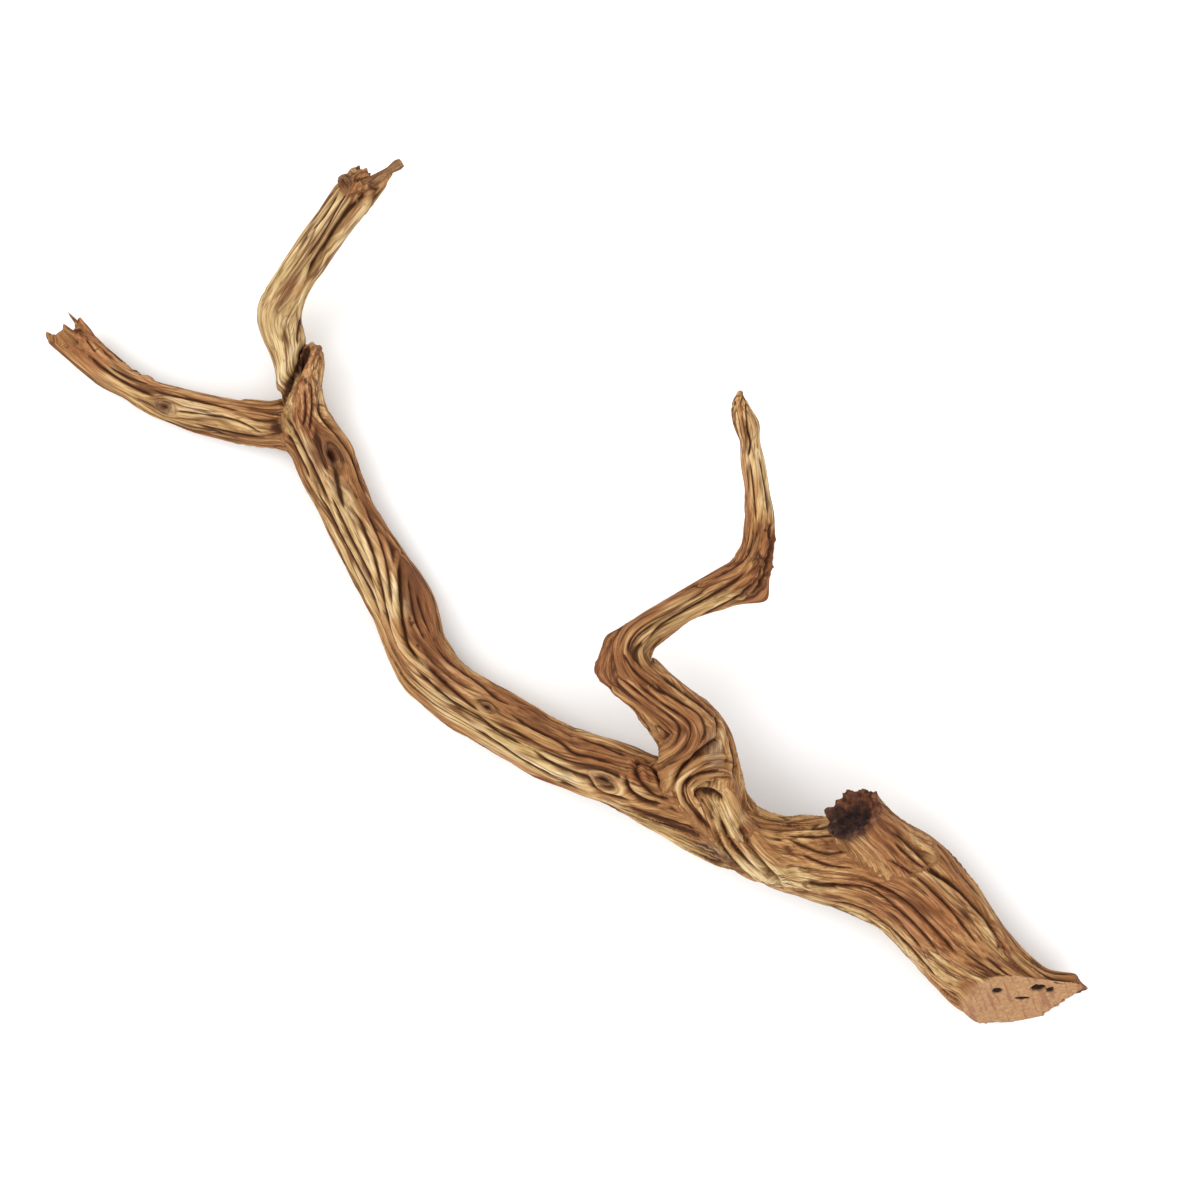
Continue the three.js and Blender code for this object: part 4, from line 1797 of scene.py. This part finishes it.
        # The hollows are painted darker brown, partly as shade, and the crests lighter.
        straw = s.ramp(
            level, (0.0, "#5f3b20"), (0.3, "#8a5e37"), (0.52, "#a67a4b"), (0.75, "#bf9a69"), (1.0, "#d8c298")
        )
        russet = s.ramp(level, (0.0, "#502b16"), (0.35, "#7b4a29"), (0.65, "#99653e"), (1.0, "#bd9166"))
        pale = s.ramp(level, (0.0, "#7d5c35"), (0.35, "#a88857"), (0.6, "#c3a777"), (1.0, "#e3d3ad"))
        grey = s.ramp(level, (0.0, "#57483c"), (0.5, "#85735f"), (1.0, "#aa9a80"))
        knot = s.ramp(level, (0.0, "#4a3020"), (0.6, "#7d5b3d"), (1.0, "#a5835b"))
        slow = self.drawn_out(s, self.zone, self.zone_stretch, 2.0)
        tone = self.blend(s, s.curve(slow, (0.45, 0.0), (0.62, 0.6)), straw, russet)
        tone = self.blend(s, s.curve(slow, (0.32, 0.3), (0.44, 0.0)), tone, pale)
        for name, colours in (("pale", pale), ("red", russet), ("grey", grey), ("knot", knot)):
            tone = self.blend(s, self.mask(s, name), tone, colours)
        return tone

    def lined(self, s: Shader, tone: Socket, fibres: Socket) -> Socket:
        """Draws the dark lines of the grain.

        Args:
            s: the material.
            tone: the colour of the wood.
            fibres: the noise of the fibres.
        Returns:
            The colour, with cracks, splits, and grooves darkened by painted shade and some dirt.
        """
        brown = s.ramp(fibres, (0.0, "#46240f"), (1.0, "#6b3f20"))
        # Hair-fine cracks follow the fibres.
        crack = self.drawn_out(s, self.crack, self.crack_stretch, 1.5)
        gap = s.add("ShaderNodeMath", {0: crack}, operation="SUBTRACT", in1=0.5).outputs[0]
        gap = s.add("ShaderNodeMath", {0: gap}, operation="ABSOLUTE").outputs[0]
        tone = self.blend(s, s.curve(gap, (0.0, 0.6), (0.05, 0.0)), tone, brown)
        # Longer splits part one strand from the next, and close again.
        split = s.curve(self.splits(s, self.strand, self.strand_stretch), (0.04, 0.85), (0.13, 0.0))
        where = s.curve(self.drawn_out(s, self.split_zone, 8.0, 1.0), (0.42, 0.0), (0.56, 1.0))
        split = s.add("ShaderNodeMath", {0: split, 1: where}, operation="MULTIPLY").outputs[0]
        tone = self.blend(s, split, tone, brown)
        # Painted shade, with some dirt, darkens the bottoms of the grooves, the knot holes and the crevices
        # of the bark.
        dark = s.ramp(fibres, (0.0, "#1f0d04"), (1.0, "#48250e"))
        shade_and_dirt = s.curve(self.mask(s, "cavity"), (0.25, 0.0), (0.52, 0.75), (0.8, 0.97))
        return self.blend(s, shade_and_dirt, tone, dark)

    def sawn(self, s: Shader, tone: Socket, speck: Socket, scratch: Socket) -> Socket:
        """Colours the sawn face: pinkish tan end grain, crossed by the saw's teeth, with dark worm holes.

        Args:
            s: the material.
            tone: the colour of the rest.
            speck: the noise of the end grain.
            scratch: the noise of the scratches.
        Returns:
            The colour of all.
        """
        cut = s.ramp(speck, (0.3, "#946c48"), (0.5, "#a37b55"), (0.7, "#b38b63"))
        teeth = s.ramp(speck, (0.0, "#7c5139"), (1.0, "#9c6d50"))
        cut = self.blend(s, s.curve(scratch, (0.36, 0.85), (0.45, 0.0)), cut, teeth)
        tone = self.blend(s, self.mask(s, "sawn"), tone, cut)
        pit = s.curve(self.mask(s, "pit"), (0.1, 0.0), (0.38, 1.0))
        return self.blend(s, pit, tone, s.ramp(speck, (0.3, "#140c08"), (0.7, "#3a2419")))

    def burnt(self, s: Shader, tone: Socket, place: Socket) -> Socket:
        """Colours the burnt wood: soot black, with the red-brown of scorched wood on its bumps.

        Args:
            s: the material.
            tone: the colour of the rest.
            place: places on the piece, m.
        Returns:
            The colour of all.
        """
        soot = self.noise(s, place, Scale=1.0 / (self.soot * MM), Detail=5.0)
        char = s.ramp(soot, (0.3, "#150d0b"), (0.5, "#2a1a16"), (0.7, "#45291e"))
        ember = s.ramp(soot, (0.3, "#2c160e"), (0.5, "#54301f"), (0.68, "#825232"))
        char = self.blend(s, self.mask(s, "ember"), char, ember)
        return self.blend(s, self.mask(s, "char"), tone, char)

    def make(self) -> bpy.types.Material:
        """Puts the finish together.

        Returns:
            The material.
        """
        s = Shader(self.name)
        place = s.add("ShaderNodeTexCoord").outputs["Object"]
        fibres = self.drawn_out(s, self.fibre, self.fibre_stretch, 4.0)
        streaks = self.drawn_out(s, self.streak, self.streak_stretch, 2.0)
        speck = self.noise(s, place, Scale=1.0 / (self.speck * MM), Detail=4.0)
        size = tuple(side * MM for side in self.tooth)
        turned = s.add(
            "ShaderNodeMapping", {"Vector": place}, vector_type="TEXTURE", in2=self.tooth_way, in3=size
        ).outputs["Vector"]
        scratch = self.noise(s, turned, Scale=1.0, Detail=2.0)
        # Higher skin is drawn lighter and lower skin darker: partly bleaching, partly painted shade.
        level = self.sum(s, self.value(s, 0.5), self.mask(s, "crest"), 0.34)
        level = self.sum(s, level, streaks, 0.95)
        level = self.sum(s, level, fibres, 1.0)
        tone = self.lined(s, self.bare(s, level), fibres)
        tone = self.sawn(s, tone, speck, scratch)
        tone = self.burnt(s, tone, place)
        height = self.sum(s, self.sum(s, fibres, streaks, 0.3), speck, 0.12)
        height = self.blend(s, self.mask(s, "sawn"), height, scratch)
        relief = s.add("ShaderNodeBump", {"Height": height}, Strength=0.55, Distance=self.relief * MM)
        rough = s.ramp(level, (0.0, "#f0f0f0"), (1.0, "#c8c8c8"))
        links = {"Base Color": tone, "Normal": relief.outputs["Normal"], "Roughness": rough}
        wood = s.add("ShaderNodeBsdfPrincipled", links, IOR=self.ior, Specular_IOR_Level=self.specular)
        s.add("ShaderNodeOutputMaterial", {"Surface": wood.outputs["BSDF"]})
        return s.material


@dataclass(frozen=True)
class MattPaper:
    """Seamless white paper: quite matt, so that it shows only soft shadows."""

    name: str = "white background paper"
    code: str = "#f6f6f5"

    def make(self) -> bpy.types.Material:
        """Puts the finish together.

        Returns:
            The material.
        """
        s = Shader(self.name)
        base = colour(self.code)
        paper = s.add("ShaderNodeBsdfPrincipled", Base_Color=base, Roughness=0.95, Specular_IOR_Level=0.1)
        s.add("ShaderNodeOutputMaterial", {"Surface": paper.outputs["BSDF"]})
        return s.material


# The piece and the studio -----------------------------------------------------------------------


@dataclass(frozen=True)
class Driftwood:
    """The whole piece: its limbs made, carved, joined into one skin and dressed."""

    work: Features = Features()
    limbs: tuple[Limb, ...] = LIMBS
    triangles: int = 194000
    mendings: int = 6  # at most
    apart: float = 900.0  # how far apart the limbs' patterns lie for each letter of their names, mm
    finish: WeatheredWood = WeatheredWood()

    def limb(self, limb: Limb) -> bpy.types.Object:
        """Makes one limb.

        Args:
            limb: what to make.
        Returns:
            The limb, carved, with its marks written on its mesh.
        """
        skin = LimbMaker(limb).skin()
        hearts = {other.name: Heart(other.stations) for other in self.limbs}
        others = [
            (hearts[b if a == limb.name else a], melt) for a, b, melt in MEETINGS if limb.name in (a, b)
        ]
        carver = Carver(skin, others, self.work)
        carver.carve()
        self.write(skin, carver.grain)
        LOG.info("%s: %d faces", limb.name, len(skin.object.data.polygons))
        return skin.object

    def write(self, skin: Skin, grain: Grain) -> None:
        """Writes the grain's places and the marks on the mesh, for the finish to read.

        Args:
            skin: the limb's skin.
            grain: its grain.
        """
        mesh = skin.object.data
        bed, skin.mark("flow")[:] = grain.strongest()
        for name, drawn in (("grain", grain.drawn_out(grain.turn)), ("bed", bed)):
            attribute = mesh.attributes.new(name, "FLOAT_VECTOR", "POINT")
            apart = (0.0, 0.0, self.apart * len(skin.limb.name))
            attribute.data.foreach_set("vector", ((drawn + apart) * MM).ravel())
        for name in MARKS:
            attribute = mesh.attributes.new(name, "FLOAT", "POINT")
            attribute.data.foreach_set("value", np.clip(skin.mark(name), 0.0, 1.0))

    def thin(self, piece: bpy.types.Object) -> None:
        """Takes points away where the skin is plain.

        Args:
            piece: the joined piece.
        """
        triangles = piece.modifiers.new("triangles", "TRIANGULATE")
        bpy.ops.object.modifier_apply(modifier=triangles.name)
        count = len(piece.data.polygons)
        thin = piece.modifiers.new("thin", "DECIMATE")
        thin.ratio = min(1.0, self.triangles / count)
        bpy.ops.object.modifier_apply(modifier=thin.name)
        LOG.info("thinned from %d to %d triangles", count, len(piece.data.polygons))

    def mend(self, piece: bpy.types.Object) -> None:
        """Cuts out the few points where thinning left the skin folded or open, and closes it again.

        Args:
            piece: the thinned piece.
        """
        for _ in range(self.mendings):
            bpy.ops.object.mode_set(mode="EDIT")
            bpy.ops.mesh.select_mode(type="VERT")
            bpy.ops.mesh.select_all(action="DESELECT")
            bpy.ops.mesh.select_non_manifold()
            mesh = bmesh.from_edit_mesh(piece.data)
            for vertex in mesh.verts:
                if len(vertex.link_faces) < 3:  # of a flake, two faces back to back
                    vertex.select_set(True)
            flawed = sum(vertex.select for vertex in mesh.verts)
            if flawed:
                bpy.ops.mesh.delete(type="VERT")
                bpy.ops.mesh.select_all(action="SELECT")
                bpy.ops.mesh.delete_loose()
                bpy.ops.mesh.select_all(action="SELECT")
                bpy.ops.mesh.fill_holes(sides=0)
                bpy.ops.mesh.select_all(action="SELECT")
                bpy.ops.mesh.quads_convert_to_tris()
            bpy.ops.object.mode_set(mode="OBJECT")
            LOG.info("mended %d points", flawed)
            if not flawed:
                break

    def build(self) -> bpy.types.Object:
        """Makes the limbs and joins them.

        Returns:
            The finished piece.
        """
        limbs = [self.limb(limb) for limb in self.limbs]
        piece = limbs[0]
        for other in limbs[1:]:
            join = piece.modifiers.new("join " + other.name, "BOOLEAN")
            join.operation = "UNION"
            join.solver = "MANIFOLD"
            join.object = other
            bpy.ops.object.select_all(action="DESELECT")
            bpy.context.view_layer.objects.active = piece
            bpy.ops.object.modifier_apply(modifier=join.name)
            bpy.data.objects.remove(other)
        self.thin(piece)
        self.mend(piece)
        piece.name = "driftwood_branch"
        piece.data.name = "driftwood_branch"
        piece.select_set(True)
        bpy.ops.object.shade_smooth()
        piece.data.materials.clear()
        piece.data.materials.append(self.finish.make())
        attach(piece, "root")
        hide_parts(NODE)
        LOG.info("driftwood_branch: %d faces", len(piece.data.polygons))
        return piece


@dataclass(frozen=True)
class Lamp:
    """A square soft light that hangs over the wood and faces it.

    Attributes:
        name: what it is called.
        place: where it hangs, m.
        size: the length of its side, m.
        power: in watts.
    """

    name: str
    place: Vector
    size: float
    power: float

    def hang(self) -> None:
        """Hangs the lamp."""
        data = bpy.data.lights.new(self.name, "AREA")
        data.size = self.size
        data.energy = self.power
        lamp = bpy.data.objects.new(self.name, data)
        lamp.location = self.place
        x, y, z = self.place
        length = math.dist((0, 0, 0), self.place)
        lamp.rotation_euler = (math.acos(z / length), 0.0, math.atan2(y, x) + math.pi / 2)
        bpy.context.scene.collection.objects.link(lamp)


@dataclass(frozen=True)
class Studio:
    """A sheet of white paper under a bright soft ceiling, and the camera straight above it."""

    camera_place: Point = (0.0181, -0.0008)  # metres
    camera_height: float = 2.4
    frame_width: float = 0.72  # what the camera sees at the height of the wood, m
    wood_height: float = 0.03
    sensor: float = 36.0
    far: float = 50.0  # the camera sees this far, m
    paper_width: float = 12.0
    ceiling: float = 1.25  # strength of the light from all round
    lamps: tuple[Lamp, ...] = (
        Lamp("key", (-1.5, 0.7, 1.9), 1.2, 20.0),
        Lamp("fill", (0.5, -1.6, 1.7), 1.6, 10.0),
    )

    def camera(self) -> None:
        """Places the camera, looking straight down with the upper branch away from it."""
        data = bpy.data.cameras.new("camera")
        data.sensor_width = self.sensor
        data.lens = self.sensor * (self.camera_height - self.wood_height) / self.frame_width
        data.clip_end = self.far
        camera = bpy.data.objects.new("camera", data)
        camera.location = (*self.camera_place, self.camera_height)
        bpy.context.scene.collection.objects.link(camera)
        bpy.context.scene.camera = camera

    def floor(self) -> None:
        """Lays the paper."""
        bpy.ops.object.select_all(action="DESELECT")
        bpy.ops.mesh.primitive_plane_add(size=self.paper_width)
        floor = bpy.context.active_object
        floor.name = "paper_floor"
        floor.data.materials.append(MattPaper().make())

    def light(self) -> None:
        """Lights the wood evenly, a little more from the upper left."""
        world = bpy.data.worlds.new("white room")
        world.use_nodes = True
        world.node_tree.nodes["Background"].inputs["Color"].default_value = colour("#ffffff")
        world.node_tree.nodes["Background"].inputs["Strength"].default_value = self.ceiling
        bpy.context.scene.world = world
        for lamp in self.lamps:
            lamp.hang()
        bpy.context.scene.view_settings.view_transform = "Standard"

    def build(self) -> None:
        """Sets the whole studio up."""
        self.camera()
        self.floor()
        self.light()


def main() -> None:
    """Builds the studio and the piece."""
    logging.basicConfig(level=logging.INFO, format="%(message)s")
    Studio().build()
    Driftwood().build()


if __name__ == "__main__":
    main()
